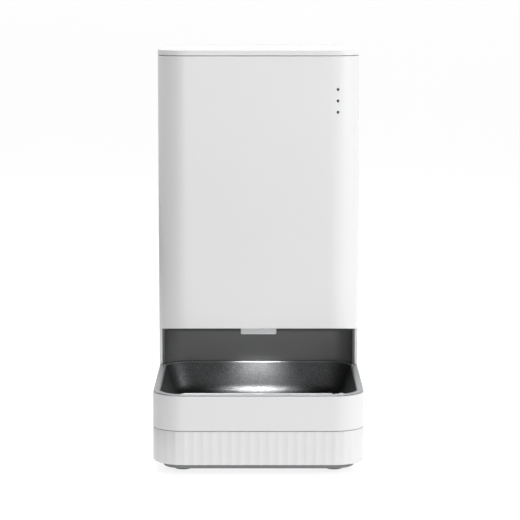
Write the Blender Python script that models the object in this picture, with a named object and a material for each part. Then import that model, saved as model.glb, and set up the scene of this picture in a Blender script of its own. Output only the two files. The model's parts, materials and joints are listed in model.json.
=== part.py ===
"""An automatic pet feeder: a hopper tower over a steel bowl, on a fluted base.

Metres, +Z up. The front faces -Y and +X is to the right of someone who looks at the front.
The origin is in the middle of the underside of the four feet.
"""

import math

import bmesh
import bpy
from mathutils import Matrix, Vector

MM = 0.001

# Overall sizes
WIDTH = 184 * MM
DEPTH = 314 * MM
HEIGHT = 362 * MM
TOWER_DEPTH = 191 * MM
CORNER = 27 * MM
CORNER_STEPS = 6

# General clearances
FIT = 0.3 * MM  # between pieces that rest on each other or slide past each other
SEAM = 0.5 * MM  # visible joint lines

# Base
FOOT_REACH = 3.9 * MM  # feet below the bottom plate
FOOT_RADIUS = 8 * MM
FOOT_EDGE = 26 * MM  # from a foot's centre to the side of the base
FOOT_SETBACK = 30 * MM  # from a foot's centre to the front or back of the base
PLATE_REACH = 4.9 * MM  # bottom plate below the skirt
PLATE_INSET = 8.5 * MM
PLATE_FLOOR = 2.4 * MM
PLATE_RIM = 2 * MM
SKIRT_HEIGHT = 29.6 * MM
SKIRT_WALL = 2.6 * MM
SKIRT_LIP = 2.2 * MM
FLUTE_PITCH = 7.3 * MM
FLUTE_DEPTH = 0.55 * MM
DECK_THICKNESS = 3 * MM
BOSS_RADIUS = 4.5 * MM
SCREW_RADIUS = 1.5 * MM
SCREW_HEAD_RADIUS = 2.8 * MM
SCREW_HEAD_HEIGHT = 2 * MM
SCREW_LENGTH = 20 * MM
SCREW_SPACING = 26 * MM  # from a foot's centre to its screw, along Y

# Bowl and the ring that carries it
RING_HEIGHT = 30.3 * MM
TRAY_WALL = 2.6 * MM
TRAY_FLOOR = 2 * MM
BOWL_THICKNESS = 0.8 * MM
FLANGE_INSET = 0.6 * MM
FLANGE_WIDTH = 5.4 * MM
BOWL_REACH = 49.6 * MM  # how far the bowl reaches in under the tower's front
BOWL_CORNER = 22 * MM
BOWL_DRAFT = 16 * MM  # how far the walls lean in from rim to floor
BOWL_FILLET = 14 * MM

# Tower
SHELL_WALL = 2.6 * MM
LEDGE_SETBACK = 29 * MM  # from the tower's front to where its side walls come down
RECESS_HEIGHT = 39.2 * MM  # from the bowl's ring up to the tower's front face
CUT_SLOPE = 0.167  # fall per length towards the back
CUT_FILLET = 4 * MM
LINER_WALL = 1.6 * MM
LINER_CORNER = 20 * MM

# Lid
LID_RIM = 4.8 * MM
LID_TOP = 2.2 * MM
LID_WALL = 2.4 * MM
LID_EDGE = 0.8 * MM
HINGE_SETBACK = 16.7 * MM  # hinge axis in front of the tower's back
HINGE_DROP = 2.7 * MM  # hinge axis below the top of the lid
KNUCKLE_RADIUS = 2.4 * MM
KNUCKLE_INSET = 22 * MM  # from the side of the tower to the end of the lid's knuckle
PIN_RADIUS = 1 * MM
PIN_GRIP = 9 * MM  # length of each hinge pin in either knuckle
HINGE_CLEARANCE = 0.6 * MM

# Hopper
HOPPER_SIDE_GAP = 4.4 * MM  # between the shell's inner wall and the hopper
HOPPER_FRONT_GAP = 7.4 * MM
HOPPER_HINGE_GAP = 4.8 * MM  # from the hopper's back to the hinge axis
HOPPER_CORNER = 22 * MM
HOPPER_WALL = 2 * MM
HOPPER_TOP_DROP = 11 * MM  # hopper rim below the top of the lid
FUNNEL_RISE = 64 * MM
SEAL_HEIGHT = 1.5 * MM
INNER_WALL = 2 * MM
PLUG_DEPTH = 5 * MM
PLUG_PLAY = 1 * MM  # room round the plug for its swing out of the hopper
DESICCANT_RADIUS = 32 * MM
DESICCANT_DEPTH = 9 * MM
DESICCANT_WALL = 1.6 * MM
DESICCANT_SLOTS = 8
DESICCANT_SLOT_RADIUS = 3 * MM

# Dispenser
CUP_RADIUS = 54 * MM
CUP_WALL = 2 * MM
CUP_RISE = 21.6 * MM  # underside of the cup above the tower's lower edge
CUP_HEIGHT = 27 * MM
ROTOR_CLEARANCE = 2 * MM
ROTOR_HEIGHT = 20 * MM
ROTOR_HUB = 9 * MM
VANES = 6
VANE_HALF = 1 * MM
PADDLES = 3
PADDLE_HALF = 2.5 * MM
PADDLE_REACH = 42 * MM
PADDLE_HEIGHT = 5 * MM
GUARD_HALF_ANGLE = 48
GUARD_THICKNESS = 2 * MM
GUARD_PLAY = 1 * MM  # round the rotor's hub
SPINDLE_RADIUS = 4 * MM
SPINDLE_GRIP = 8 * MM
BUSH_WALL = 1.9 * MM

# Outlet
NOZZLE_HALF = 16.5 * MM
NOZZLE_SETBACK = 14 * MM  # from the tower's front to the nozzle
NOZZLE_LENGTH = 22 * MM  # front to back at the lower end of the chute
NOZZLE_REACH = 7.7 * MM  # nozzle below the lower edge of the tower
NOZZLE_WALL = 1.6 * MM
CHUTE_GAP = 3.25 * MM  # between the upper end of the chute and the gearbox
CHUTE_INSET = 3 * MM  # from the cup's edge to the upper end of the chute
FLAP_INSET = 4 * MM  # flap axis in front of the chute's back wall
FLAP_DROP = 9 * MM  # flap axis below the floor of the cup
FLAP_GAP = 0.6 * MM  # between the flap's tip and the chute's front wall
FLAP_THICKNESS = 1.2 * MM
FLAP_TILT = 10  # degrees below level when shut
FLAP_BARREL = 1.9 * MM
FLAP_PIN = 0.7 * MM
SPRING_WIRE = 0.4 * MM
SPRING_TURNS = 5
SPRING_PITCH = 1.2 * MM
SENSOR_SIZE = 6 * MM
SENSOR_RISE = 9.3 * MM  # sensors above the lower end of the chute
SENSOR_EYE = 1.6 * MM

# Gear train: three reductions of 3 to 1
PRESSURE = math.radians(20)
ADDENDUM = 0.75
DEDENDUM = 1.1
TOOTH_PLAY = 0.1 * MM
FLANK_STEPS = 1
SMALL_TEETH = 12
LARGE_TEETH = 36
OUTPUT_MODULE = 1 * MM
IDLER_MODULE = 0.8 * MM
GEAR_FACE = 5 * MM
GEAR_GAP = 0.9 * MM  # between gears stacked at different heights
IDLER_TURN = math.radians(30)  # direction from idler b to idler a
MOTOR_TURN = math.radians(90)  # direction from idler a to the motor
GEAR_PIN_RADIUS = 1.5 * MM
CASE_WALL = 1.6 * MM
CASE_FLOOR = 2 * MM
CASE_MARGIN = 3 * MM  # between a gear's tip and the case
CASE_GAP = 1.55 * MM  # between the liner's back and the case
CASE_HEADROOM = 5 * MM  # above the output gear
COVER_THICKNESS = 2 * MM
MOTOR_RADIUS = 12 * MM
MOTOR_LENGTH = 34 * MM
MOTOR_SHAFT = 1.2 * MM
MOTOR_SHAFT_SOCKET = 4 * MM
BRACKET_WALL = 3 * MM

# Electronics
BOARD_THICKNESS = 1.6 * MM
BOARD_HALF = 45 * MM
BOARD_HEIGHT = 60 * MM
BOARD_SETBACK = 11 * MM  # front of the main board in front of the tower's back
BOARD_RISE = 13.6 * MM  # main board above the base's deck
POST_RADIUS = 2 * MM
MODULE_SIZE = (18 * MM, 3 * MM, 25 * MM)
MODULE_MARGIN = 6 * MM
LEAD_RADIUS = 1.4 * MM
LEAD_SAG = 9 * MM
LEAD_PLUG = 12 * MM  # straight run into the board
JACK_INSET = 32 * MM  # from the side of the tower
JACK_RISE = 17.6 * MM  # above the base's deck
JACK_RADIUS = 5.5 * MM
JACK_BORE = 3 * MM
JACK_LENGTH = 13 * MM
LENS_INSET = 20.2 * MM  # from the side of the tower
LENS_DROP = 35.3 * MM  # top lens below the top of the lid
LENS_PITCH = 10.3 * MM
LENS_RADIUS = 1.05 * MM
LENS_LENGTH = 6 * MM
LENS_BOARD_MARGIN = 4 * MM
BUTTON_RADIUS = 3.6 * MM
BUTTON_TRAVEL = 1.5 * MM
BUTTON_FLANGE = 1.1 * MM
SWITCH_SIZE = 6 * MM
SWITCH_HEIGHT = 4 * MM
BUTTON_BOARD_HALF = 10 * MM

# Places in plan that follow from the sizes above
TOWER_FRONT = DEPTH / 2 - TOWER_DEPTH
LEDGE_Y = TOWER_FRONT + LEDGE_SETBACK
BOWL_BACK = TOWER_FRONT + BOWL_REACH
HINGE_Y = DEPTH / 2 - HINGE_SETBACK
KNUCKLE_HALF = WIDTH / 2 - KNUCKLE_INSET
OUTPUT_TIP = (LARGE_TEETH / 2 + ADDENDUM) * OUTPUT_MODULE
IDLER_TIP = (LARGE_TEETH / 2 + ADDENDUM) * IDLER_MODULE
CASE_FRONT = BOWL_BACK + SEAM + LINER_WALL + CASE_GAP
DRIVE_Y = CASE_FRONT + CASE_MARGIN + OUTPUT_TIP
NOZZLE_FRONT = TOWER_FRONT + NOZZLE_SETBACK
NOZZLE_BACK = NOZZLE_FRONT + NOZZLE_LENGTH
CHUTE_FRONT = DRIVE_Y - CUP_RADIUS + CHUTE_INSET
CHUTE_BACK = CASE_FRONT - CHUTE_GAP
BOARD_Y = DEPTH / 2 - BOARD_SETBACK
JACK_X = JACK_INSET - WIDTH / 2

# Heights that follow from the sizes above
PLATE_Z = FOOT_REACH
SKIRT_Z = PLATE_Z + PLATE_REACH
DECK_Z = SKIRT_Z + SKIRT_HEIGHT
TRAY_Z = DECK_Z + SEAM
RIM_Z = TRAY_Z + RING_HEIGHT
FLANGE_Z = RIM_Z + FIT
BOWL_Z = TRAY_Z + TRAY_FLOOR + 2 * FIT  # underside of the bowl
CUT_Z = RIM_Z + RECESS_HEIGHT
LID_Z = HEIGHT - LID_RIM
SHELL_TOP = LID_Z - SEAM
HINGE_Z = HEIGHT - HINGE_DROP
HOPPER_TOP = HEIGHT - HOPPER_TOP_DROP
CUP_FLOOR_Z = CUT_Z + CUP_RISE
CUP_TOP = CUP_FLOOR_Z + CUP_HEIGHT
ROTOR_Z = CUP_FLOOR_Z + CUP_WALL + ROTOR_CLEARANCE / 2
GUARD_Z = ROTOR_Z + ROTOR_HEIGHT + 4 * FIT
PADDLE_Z = GUARD_Z + GUARD_THICKNESS + 4 * FIT
NOZZLE_Z = CUT_Z - NOZZLE_REACH
CHUTE_TOP = CUP_FLOOR_Z - 2 * FIT
FLAP_Z = CUP_FLOOR_Z - FLAP_DROP
CASE_TOP = CUP_FLOOR_Z - COVER_THICKNESS - 2 * FIT
CASE_Z = CASE_TOP - CASE_HEADROOM - 3 * GEAR_FACE - 4 * GEAR_GAP - CASE_FLOOR
BOARD_Z = DECK_Z + BOARD_RISE
JACK_Z = DECK_Z + JACK_RISE
LENS_TOP = HEIGHT - LENS_DROP
BUTTON_LOW = SHELL_TOP - 2 * BUTTON_FLANGE
SWITCH_TOP = BUTTON_LOW - BUTTON_TRAVEL - FIT
BUTTON_BOARD_TOP = SWITCH_TOP - SWITCH_HEIGHT - FIT

# Levels in the gear train, from the motor's pinion up to the output gear
LEVEL_1 = CASE_Z + CASE_FLOOR + GEAR_GAP
LEVEL_2 = LEVEL_1 + GEAR_FACE + GEAR_GAP
LEVEL_3 = LEVEL_2 + GEAR_FACE + 2 * GEAR_GAP
OUTPUT_REACH = (SMALL_TEETH + LARGE_TEETH) / 2 * OUTPUT_MODULE
IDLER_REACH = (SMALL_TEETH + LARGE_TEETH) / 2 * IDLER_MODULE
OUTPUT_AXIS = Vector((0, DRIVE_Y))
IDLER_B_AXIS = OUTPUT_AXIS + Vector((0, OUTPUT_REACH))
IDLER_A_AXIS = IDLER_B_AXIS + IDLER_REACH * Vector((math.cos(IDLER_TURN), math.sin(IDLER_TURN)))
MOTOR_AXIS = IDLER_A_AXIS + IDLER_REACH * Vector((math.cos(MOTOR_TURN), math.sin(MOTOR_TURN)))


class Plan:
    """A rounded rectangle seen from above, the same on both sides of X = 0."""

    def __init__(self, half, front, back, front_radius, back_radius):
        self.half = half
        self.front = front
        self.back = back
        self.front_radius = front_radius
        self.back_radius = back_radius

    def inset(self, by):
        least = 0.4 * MM
        return Plan(
            self.half - by,
            self.front + by,
            self.back - by,
            max(self.front_radius - by, least),
            max(self.back_radius - by, least),
        )

    def points(self, steps=CORNER_STEPS):
        """The outline, anticlockwise from the middle of the right side."""
        corners = (
            (1, 1, self.back_radius, 0),
            (-1, 1, self.back_radius, 90),
            (-1, -1, self.front_radius, 180),
            (1, -1, self.front_radius, 270),
        )
        outline = []
        for side, end, radius, start in corners:
            x = side * (self.half - radius)
            y = self.back - radius if end > 0 else self.front + radius
            outline += arc((x, y), radius, start, start + 90, steps)
        return outline

    def ring(self, z, steps=CORNER_STEPS):
        return level(self.points(steps), z)


BASE = Plan(WIDTH / 2, -DEPTH / 2, DEPTH / 2, CORNER, CORNER)
TOWER = Plan(WIDTH / 2, TOWER_FRONT, DEPTH / 2, CORNER, CORNER)
TRAY = Plan(WIDTH / 2, -DEPTH / 2, LEDGE_Y - FIT, CORNER, 2 * FIT)
LINER = Plan(
    WIDTH / 2 - SHELL_WALL - FIT,
    TOWER.front + SHELL_WALL + FIT,
    BOWL_BACK + SEAM + LINER_WALL,
    CORNER - SHELL_WALL - FIT,
    LINER_CORNER + LINER_WALL,
)
BOWL_OPENING = Plan(
    WIDTH / 2 - FLANGE_INSET - FLANGE_WIDTH,
    -DEPTH / 2 + FLANGE_INSET + FLANGE_WIDTH,
    BOWL_BACK - FLANGE_WIDTH - FLANGE_INSET,
    BOWL_CORNER,
    BOWL_CORNER,
)
HOPPER = Plan(
    WIDTH / 2 - SHELL_WALL - HOPPER_SIDE_GAP,
    TOWER_FRONT + SHELL_WALL + HOPPER_FRONT_GAP,
    HINGE_Y - HOPPER_HINGE_GAP,
    HOPPER_CORNER,
    HOPPER_CORNER,
)
LID_BACK = HINGE_Y - KNUCKLE_RADIUS - HINGE_CLEARANCE
CAP_FRONT = HINGE_Y + KNUCKLE_RADIUS + 2 * HINGE_CLEARANCE
LID_ORIGIN = (0, HINGE_Y, HINGE_Z)
BUTTON_SPOT = (0, (CAP_FRONT + DEPTH / 2 - SHELL_WALL) / 2)


def arc(centre, radius, start, end, steps):
    """Points on an arc in the XY plane, both ends included. Angles in degrees."""
    turns = [math.radians(start + (end - start) * i / steps) for i in range(steps + 1)]
    return [(centre[0] + radius * math.cos(t), centre[1] + radius * math.sin(t)) for t in turns]


def circle(centre, radius, count):
    return arc(centre, radius, 0, 360 * (count - 1) / count, count - 1)


def level(points, z):
    """Points of the XY plane lifted to z, which is a height or a function of Y."""
    height = z if callable(z) else lambda y: z
    return [(x, y, height(y)) for x, y in points]


def cut_height(y):
    """The sloping plane that ends the tower over the bowl."""
    return CUT_Z - (y - TOWER.front) * CUT_SLOPE


def finish(name, colour, roughness, metallic):
    material = bpy.data.materials.new(name)
    material.use_nodes = True
    surface = material.node_tree.nodes["Principled BSDF"]
    surface.inputs["Base Color"].default_value = (*colour, 1)
    surface.inputs["Roughness"].default_value = roughness
    surface.inputs["Metallic"].default_value = metallic
    material.diffuse_color = (*colour, 1)
    return material


WHITE = ((0.72, 0.72, 0.72), 0.4, 0)
DARK_GREY = ((0.055, 0.055, 0.058), 0.5, 0)
MID_GREY = ((0.22, 0.22, 0.22), 0.5, 0)
STEEL = ((0.6, 0.61, 0.63), 0.25, 1)
BRIGHT_STEEL = ((0.7, 0.7, 0.7), 0.3, 1)
RUBBER = ((0.09, 0.09, 0.09), 0.8, 0)
SILICONE = ((0.45, 0.45, 0.44), 0.6, 0)
SMOKE = ((0.12, 0.12, 0.12), 0.3, 0)
NATURAL = ((0.6, 0.6, 0.56), 0.45, 0)
BRASS = ((0.6, 0.45, 0.2), 0.35, 1)
GREEN_BOARD = ((0.02, 0.12, 0.05), 0.5, 0)
BLACK = ((0.02, 0.02, 0.02), 0.5, 0)
PAPER = ((0.7, 0.68, 0.62), 0.9, 0)


def add_object(name, bm, look, origin=(0, 0, 0)):
    """An object whose own origin is at the given point, made from a mesh drawn in world space."""
    bm.normal_update()
    bmesh.ops.recalc_face_normals(bm, faces=bm.faces)
    mesh = bpy.data.meshes.new(name)
    bm.transform(Matrix.Translation(-Vector(origin)))
    bm.to_mesh(mesh)
    bm.free()
    mesh.shade_smooth()
    mesh.set_sharp_from_angle(angle=math.radians(35))
    mesh.materials.append(finish(name, *look))
    made = bpy.data.objects.new(name, mesh)
    made.location = origin
    bpy.context.scene.collection.objects.link(made)
    return made


def loft(name, rings, look=BLACK, tube=False, origin=(0, 0, 0), turn=None):
    """A solid through closed rings with equal counts of points. A tube's last ring joins its first."""
    bm = bmesh.new()
    loops = [[bm.verts.new(point) for point in ring] for ring in rings]
    for first, second in zip(loops, loops[1:] + loops[:1] if tube else loops[1:]):
        for i in range(len(first)):
            bm.faces.new((first[i - 1], first[i], second[i], second[i - 1]))
    if not tube:
        bm.faces.new(loops[0])
        bm.faces.new(loops[-1])
    if turn is not None:
        bm.transform(turn)
    return add_object(name, bm, look, origin)


def prism(name, outline, bottom, top, look=BLACK, origin=(0, 0, 0), turn=None):
    return loft(name, [level(outline, bottom), level(outline, top)], look, origin=origin, turn=turn)


def turned(name, centre, profile, look=BLACK, count=20, tube=False, origin=(0, 0, 0), turn=None):
    """A piece turned about a vertical line through centre. The profile is (radius, height) pairs."""
    rings = [level(circle(centre, radius, count), z) for radius, z in profile]
    return loft(name, rings, look, tube, origin, turn)


def block(name, low, high, look=BLACK, origin=(0, 0, 0)):
    outline = [(low[0], low[1]), (high[0], low[1]), (high[0], high[1]), (low[0], high[1])]
    return prism(name, outline, low[2], high[2], look, origin)


def combine(target, helper, operation):
    modifier = target.modifiers.new(helper.name, "BOOLEAN")
    modifier.operation = operation
    modifier.object = helper
    helper.hide_render = True
    helper.display_type = "WIRE"


def cut(target, *cutters):
    for cutter in cutters:
        combine(target, cutter, "DIFFERENCE")
    return target


def join(target, *others):
    for other in others:
        combine(target, other, "UNION")
    return target


def on_axis(axis, point):
    """Turns a piece made along Z at the origin so that it runs along axis from point."""
    return Matrix.Translation(point) @ Vector(axis).to_track_quat("Z", "Y").to_matrix().to_4x4()


def rod(name, start, end, radius, look=BLACK, count=16, origin=(0, 0, 0)):
    start, end = Vector(start), Vector(end)
    place = on_axis(end - start, start)
    profile = [(radius, 0), (radius, (end - start).length)]
    return turned(name, (0, 0), profile, look, count, origin=origin, turn=place)


def at_corners(x, y):
    return {
        "front_left": (-x, -y),
        "front_right": (x, -y),
        "rear_left": (-x, y),
        "rear_right": (x, y),
    }


FOOT_X = WIDTH / 2 - FOOT_EDGE
FOOT_Y = DEPTH / 2 - FOOT_SETBACK
FEET = at_corners(FOOT_X, FOOT_Y)
SCREWS = at_corners(FOOT_X, FOOT_Y - SCREW_SPACING)


# Base


def fluted_outline():
    """The base's outline with a groove every flute pitch, as ridge and valley points."""
    smooth = BASE.points(CORNER_STEPS * 3)
    ends = smooth[1:] + smooth[:1]
    lengths = [math.dist(a, b) for a, b in zip(smooth, ends)]
    count = 2 * round(sum(lengths) / FLUTE_PITCH)
    spacing = sum(lengths) / count
    outline = []
    side = 0
    walked = 0.0
    for i in range(count):
        along = i * spacing
        while along > walked + lengths[side]:
            walked += lengths[side]
            side += 1
        start, end = Vector(smooth[side]), Vector(ends[side])
        point = start.lerp(end, (along - walked) / lengths[side])
        inward = Vector((start.y - end.y, end.x - start.x)).normalized()
        outline.append(point + inward * FLUTE_DEPTH * (i % 2))
    return [tuple(point) for point in outline]


def make_base_skirt():
    skirt = prism("base_skirt", fluted_outline(), SKIRT_Z, DECK_Z, WHITE)
    opening = BASE.inset(PLATE_INSET - FIT)
    inside = BASE.inset(SKIRT_WALL)
    beyond = 5 * MM
    room = [
        opening.ring(SKIRT_Z - beyond),
        opening.ring(SKIRT_Z + SKIRT_LIP),
        inside.ring(SKIRT_Z + SKIRT_LIP),
        inside.ring(DECK_Z + beyond),
    ]
    cut(skirt, loft("skirt_room", room))


def make_bottom_plate():
    foot = BASE.inset(PLATE_INSET)
    ledge = BASE.inset(SKIRT_WALL + FIT)
    ledge_z = SKIRT_Z + SKIRT_LIP + FIT
    chamfer = 1 * MM
    rings = [
        foot.inset(chamfer).ring(PLATE_Z),
        foot.ring(PLATE_Z + chamfer),
        foot.ring(ledge_z),
        ledge.ring(ledge_z),
        ledge.ring(ledge_z + PLATE_RIM),
        foot.inset(PLATE_RIM).ring(ledge_z + PLATE_RIM),
        foot.inset(PLATE_RIM).ring(PLATE_Z + PLATE_FLOOR),
    ]
    plate = loft("bottom_plate", rings, DARK_GREY)
    for name, spot in SCREWS.items():
        boss_top = PLATE_Z + PLATE_FLOOR + SCREW_HEAD_HEIGHT + PLATE_FLOOR
        head = SCREW_HEAD_RADIUS + FIT
        shank = SCREW_RADIUS + FIT
        pocket_top = PLATE_Z + PLATE_FLOOR + SCREW_HEAD_HEIGHT
        boss = [(BOSS_RADIUS, PLATE_Z + chamfer), (BOSS_RADIUS, boss_top)]
        join(plate, turned(f"plate_boss_{name}", spot, boss, count=12))
        profile = [
            (head, PLATE_Z - chamfer),
            (head, pocket_top),
            (shank, pocket_top),
            (shank, boss_top + chamfer),
        ]
        cut(plate, turned(f"plate_hole_{name}", spot, profile, count=12))


def make_chassis_plate():
    deck = BASE.inset(SKIRT_WALL + FIT)
    chassis = prism("chassis_plate", deck.points(), DECK_Z - DECK_THICKNESS, DECK_Z, MID_GREY)
    boss_z = PLATE_Z + 2 * PLATE_FLOOR + SCREW_HEAD_HEIGHT + FIT
    for name, spot in SCREWS.items():
        boss = [(BOSS_RADIUS, boss_z), (BOSS_RADIUS, DECK_Z - DECK_THICKNESS / 2)]
        join(chassis, turned(f"chassis_boss_{name}", spot, boss, count=12))
        bore = SCREW_RADIUS + FIT
        profile = [(bore, boss_z - FIT), (bore, DECK_Z - DECK_THICKNESS)]
        cut(chassis, turned(f"chassis_hole_{name}", spot, profile, count=12))


def make_feet_and_screws():
    for name, spot in FEET.items():
        edge = 0.6 * MM
        profile = [
            (FOOT_RADIUS - edge, 0),
            (FOOT_RADIUS, edge),
            (FOOT_RADIUS, FOOT_REACH - FIT),
        ]
        turned(f"foot_{name}", spot, profile, RUBBER)
    for name, spot in SCREWS.items():
        head_z = PLATE_Z + PLATE_FLOOR - FIT
        under_head = head_z + SCREW_HEAD_HEIGHT
        profile = [
            (SCREW_HEAD_RADIUS, head_z),
            (SCREW_HEAD_RADIUS, under_head),
            (SCREW_RADIUS, under_head),
            (SCREW_RADIUS, under_head + SCREW_LENGTH),
        ]
        turned(f"base_screw_{name}", spot, profile, BRIGHT_STEEL, count=12)


# Bowl and its tray


def make_bowl_tray():
    tray = prism("bowl_tray", TRAY.points(), TRAY_Z, RIM_Z, WHITE)
    room = TRAY.inset(TRAY_WALL)
    room.back = TRAY.back + TRAY_WALL
    cut(tray, prism("tray_room", room.points(), TRAY_Z + TRAY_FLOOR, RIM_Z + TRAY_WALL))


def stepped_outline(wide, narrow, step_y):
    """A plan with the wide plan's front and the narrow plan's back, which meet in a step."""
    half_way = 2 * (CORNER_STEPS + 1)
    back = narrow.points()[:half_way]
    left_step = [(-narrow.half, step_y), (-wide.half, step_y)]
    front = wide.points()[half_way:]
    right_step = [(wide.half, step_y), (narrow.half, step_y)]
    return back + left_step + front + right_step


def flange_outline():
    """Full width over the tray's wall, narrower where it reaches in between the liner's sides."""
    wide = TRAY.inset(FLANGE_INSET)
    narrow = LINER.inset(LINER_WALL + SEAM)
    return stepped_outline(wide, narrow, LEDGE_Y - 2 * FIT)


def make_food_bowl():
    depth = FLANGE_Z - BOWL_Z
    floor_z = BOWL_Z + BOWL_THICKNESS
    lip = FLANGE_Z + BOWL_THICKNESS
    roll = 0.7 * MM
    wall_run = BOWL_DRAFT * (1 - BOWL_FILLET / 2 / depth)
    beyond = BOWL_DRAFT
    inner = [
        BOWL_OPENING.ring(lip + beyond),
        BOWL_OPENING.ring(lip),
        BOWL_OPENING.inset(roll).ring(lip - roll),
        BOWL_OPENING.inset(wall_run).ring(floor_z + BOWL_FILLET / 2),
        BOWL_OPENING.inset(BOWL_DRAFT + BOWL_FILLET / 4).ring(floor_z + BOWL_FILLET / 8),
        BOWL_OPENING.inset(BOWL_DRAFT + BOWL_FILLET).ring(floor_z),
    ]
    outer = [
        BOWL_OPENING.inset(BOWL_DRAFT + BOWL_FILLET).ring(BOWL_Z),
        BOWL_OPENING.inset(BOWL_DRAFT + BOWL_FILLET / 4 - BOWL_THICKNESS / 2).ring(
            BOWL_Z + BOWL_FILLET / 8
        ),
        BOWL_OPENING.inset(wall_run - BOWL_THICKNESS).ring(BOWL_Z + BOWL_FILLET / 2),
        BOWL_OPENING.inset(roll - BOWL_THICKNESS).ring(FLANGE_Z - roll),
        BOWL_OPENING.inset(-BOWL_THICKNESS).ring(FLANGE_Z + BOWL_THICKNESS / 2),
    ]
    bowl = loft("food_bowl", outer, STEEL, origin=(0, 0, FLANGE_Z))
    join(bowl, prism("bowl_flange", flange_outline(), FLANGE_Z, lip))
    cut(bowl, loft("bowl_room", inner))


# Tower


def recess_side():
    """The cut-away seen from the side, as points of the YZ plane."""
    far = TOWER.front - CORNER
    low = TRAY_Z - CORNER
    fall = math.degrees(math.atan(CUT_SLOPE))
    centre_y = LEDGE_Y - CUT_FILLET
    centre_z = cut_height(centre_y) - CUT_FILLET / math.cos(math.radians(fall))
    corner = arc((centre_y, centre_z), CUT_FILLET, 0, 90 - fall, CORNER_STEPS)
    return [(far, low), (LEDGE_Y, low)] + corner + [(far, cut_height(far))]


def across(half):
    """Turns a prism drawn on a YZ outline so that it spans X, starting at -half."""
    return Matrix(((0, 0, 1, -half), (1, 0, 0, 0), (0, 1, 0, 0), (0, 0, 0, 1)))


def lens_direction():
    """Outward direction, in plan, at the indicator lenses on the tower's front right corner."""
    side = CORNER - LENS_INSET
    return Vector((side, -math.sqrt(CORNER**2 - side**2))) / CORNER


def lens_point(depth):
    """The point of a lens's axis at a depth under the shell's surface, in plan."""
    centre = Vector((TOWER.half - CORNER, TOWER.front + CORNER))
    return centre + lens_direction() * (CORNER - depth)


def lens_rod(name, index, radius, start, end, look=BLACK):
    z = LENS_TOP - index * LENS_PITCH
    return rod(name, (*lens_point(start), z), (*lens_point(end), z), radius, look, count=12)


def chute_share(z):
    """How far up the chute a height is, from 0 at its lower end to 1 at its upper end."""
    return (z - NOZZLE_Z) / (CHUTE_TOP - NOZZLE_Z)


def chute_front(z):
    return NOZZLE_FRONT + (CHUTE_FRONT - NOZZLE_FRONT) * chute_share(z)


def chute_back(z):
    return NOZZLE_BACK + (CHUTE_BACK - NOZZLE_BACK) * chute_share(z)


FLAP_Y = chute_back(FLAP_Z) - FLAP_INSET


def make_outer_shell():
    inside = TOWER.inset(SHELL_WALL)
    rings = [TOWER.ring(TRAY_Z), TOWER.ring(SHELL_TOP), inside.ring(SHELL_TOP), inside.ring(TRAY_Z)]
    shell = loft("outer_shell", rings, WHITE, tube=True)
    reach = WIDTH
    side = recess_side()
    cut(shell, prism("recess_cut", side, 0, 2 * reach, turn=across(reach)))
    for i in range(3):
        cut(shell, lens_rod(f"lens_hole_{i + 1}", i, LENS_RADIUS + FIT, -SHELL_WALL, 2 * SHELL_WALL))
    back = DEPTH / 2
    start = (JACK_X, back + SHELL_WALL, JACK_Z)
    end = (JACK_X, back - 2 * SHELL_WALL, JACK_Z)
    cut(shell, rod("jack_hole", start, end, JACK_RADIUS + FIT, count=24))
    post_x = BOARD_HALF - 2 * POST_RADIUS
    post_low = BOARD_Z + 2 * POST_RADIUS
    post_high = BOARD_Z + BOARD_HEIGHT - 2 * POST_RADIUS
    post_front = BOARD_Y + BOARD_THICKNESS + FIT
    spots = [(x, z) for z in (post_low, post_high) for x in (-post_x, post_x)]
    for i, (x, z) in enumerate(spots):
        start = (x, back - SHELL_WALL / 2, z)
        join(shell, rod(f"board_post_{i + 1}", start, (x, post_front, z), POST_RADIUS, count=10))


def make_recess_liner():
    top = LINER_WALL + FIT
    liner = loft("recess_liner", [LINER.ring(TRAY_Z), LINER.ring(lambda y: cut_height(y) + top)], DARK_GREY)
    below = TRAY_Z - CORNER
    open_front = Plan(WIDTH, TOWER.front - 2 * CORNER, LEDGE_Y, FIT, FIT)
    room = stepped_outline(open_front, LINER.inset(LINER_WALL), LEDGE_Y + FIT)
    cut(liner, loft("liner_room", [level(room, below), level(room, lambda y: cut_height(y) + FIT)]))
    ceiling_top = cut_height(NOZZLE_BACK) + top
    slot = Plan(NOZZLE_HALF + FIT, NOZZLE_FRONT - FIT, chute_back(ceiling_top) + 2 * FIT, FIT, FIT)
    cut(liner, prism("nozzle_slot", slot.points(1), below, CUP_FLOOR_Z))


# Lid


def lid_part(plan, back):
    """The plan cut off straight at the given Y, with square back corners."""
    return Plan(plan.half, plan.front, back, plan.front_radius, 2 * FIT)


def make_lid():
    edge = 0.3 * LID_EDGE
    rings = [
        TOWER.ring(LID_Z),
        TOWER.ring(HEIGHT - LID_EDGE),
        TOWER.inset(edge).ring(HEIGHT - edge),
        TOWER.inset(LID_EDGE).ring(HEIGHT),
    ]
    lid = loft("lid", rings, WHITE, origin=LID_ORIGIN)
    beyond = CORNER
    cut(lid, block("lid_end", (-WIDTH, LID_BACK, LID_Z - beyond), (WIDTH, DEPTH, HEIGHT + beyond)))
    inside = lid_part(TOWER.inset(LID_WALL), LID_BACK - LID_WALL)
    cut(lid, prism("lid_room", inside.points(), LID_Z - beyond, HEIGHT - LID_TOP))
    join(lid, knuckle("lid_knuckle", -KNUCKLE_HALF, KNUCKLE_HALF))
    web_low = (-KNUCKLE_HALF, LID_BACK - LID_WALL / 2, HINGE_Z - KNUCKLE_RADIUS / 2)
    web_high = (KNUCKLE_HALF, HINGE_Y - PIN_RADIUS - FIT, HINGE_Z + KNUCKLE_RADIUS / 2)
    join(lid, block("lid_web", web_low, web_high))
    for name, side in (("left", -1), ("right", 1)):
        cut(lid, pin_bore(f"lid_bore_{name}", side))


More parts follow.
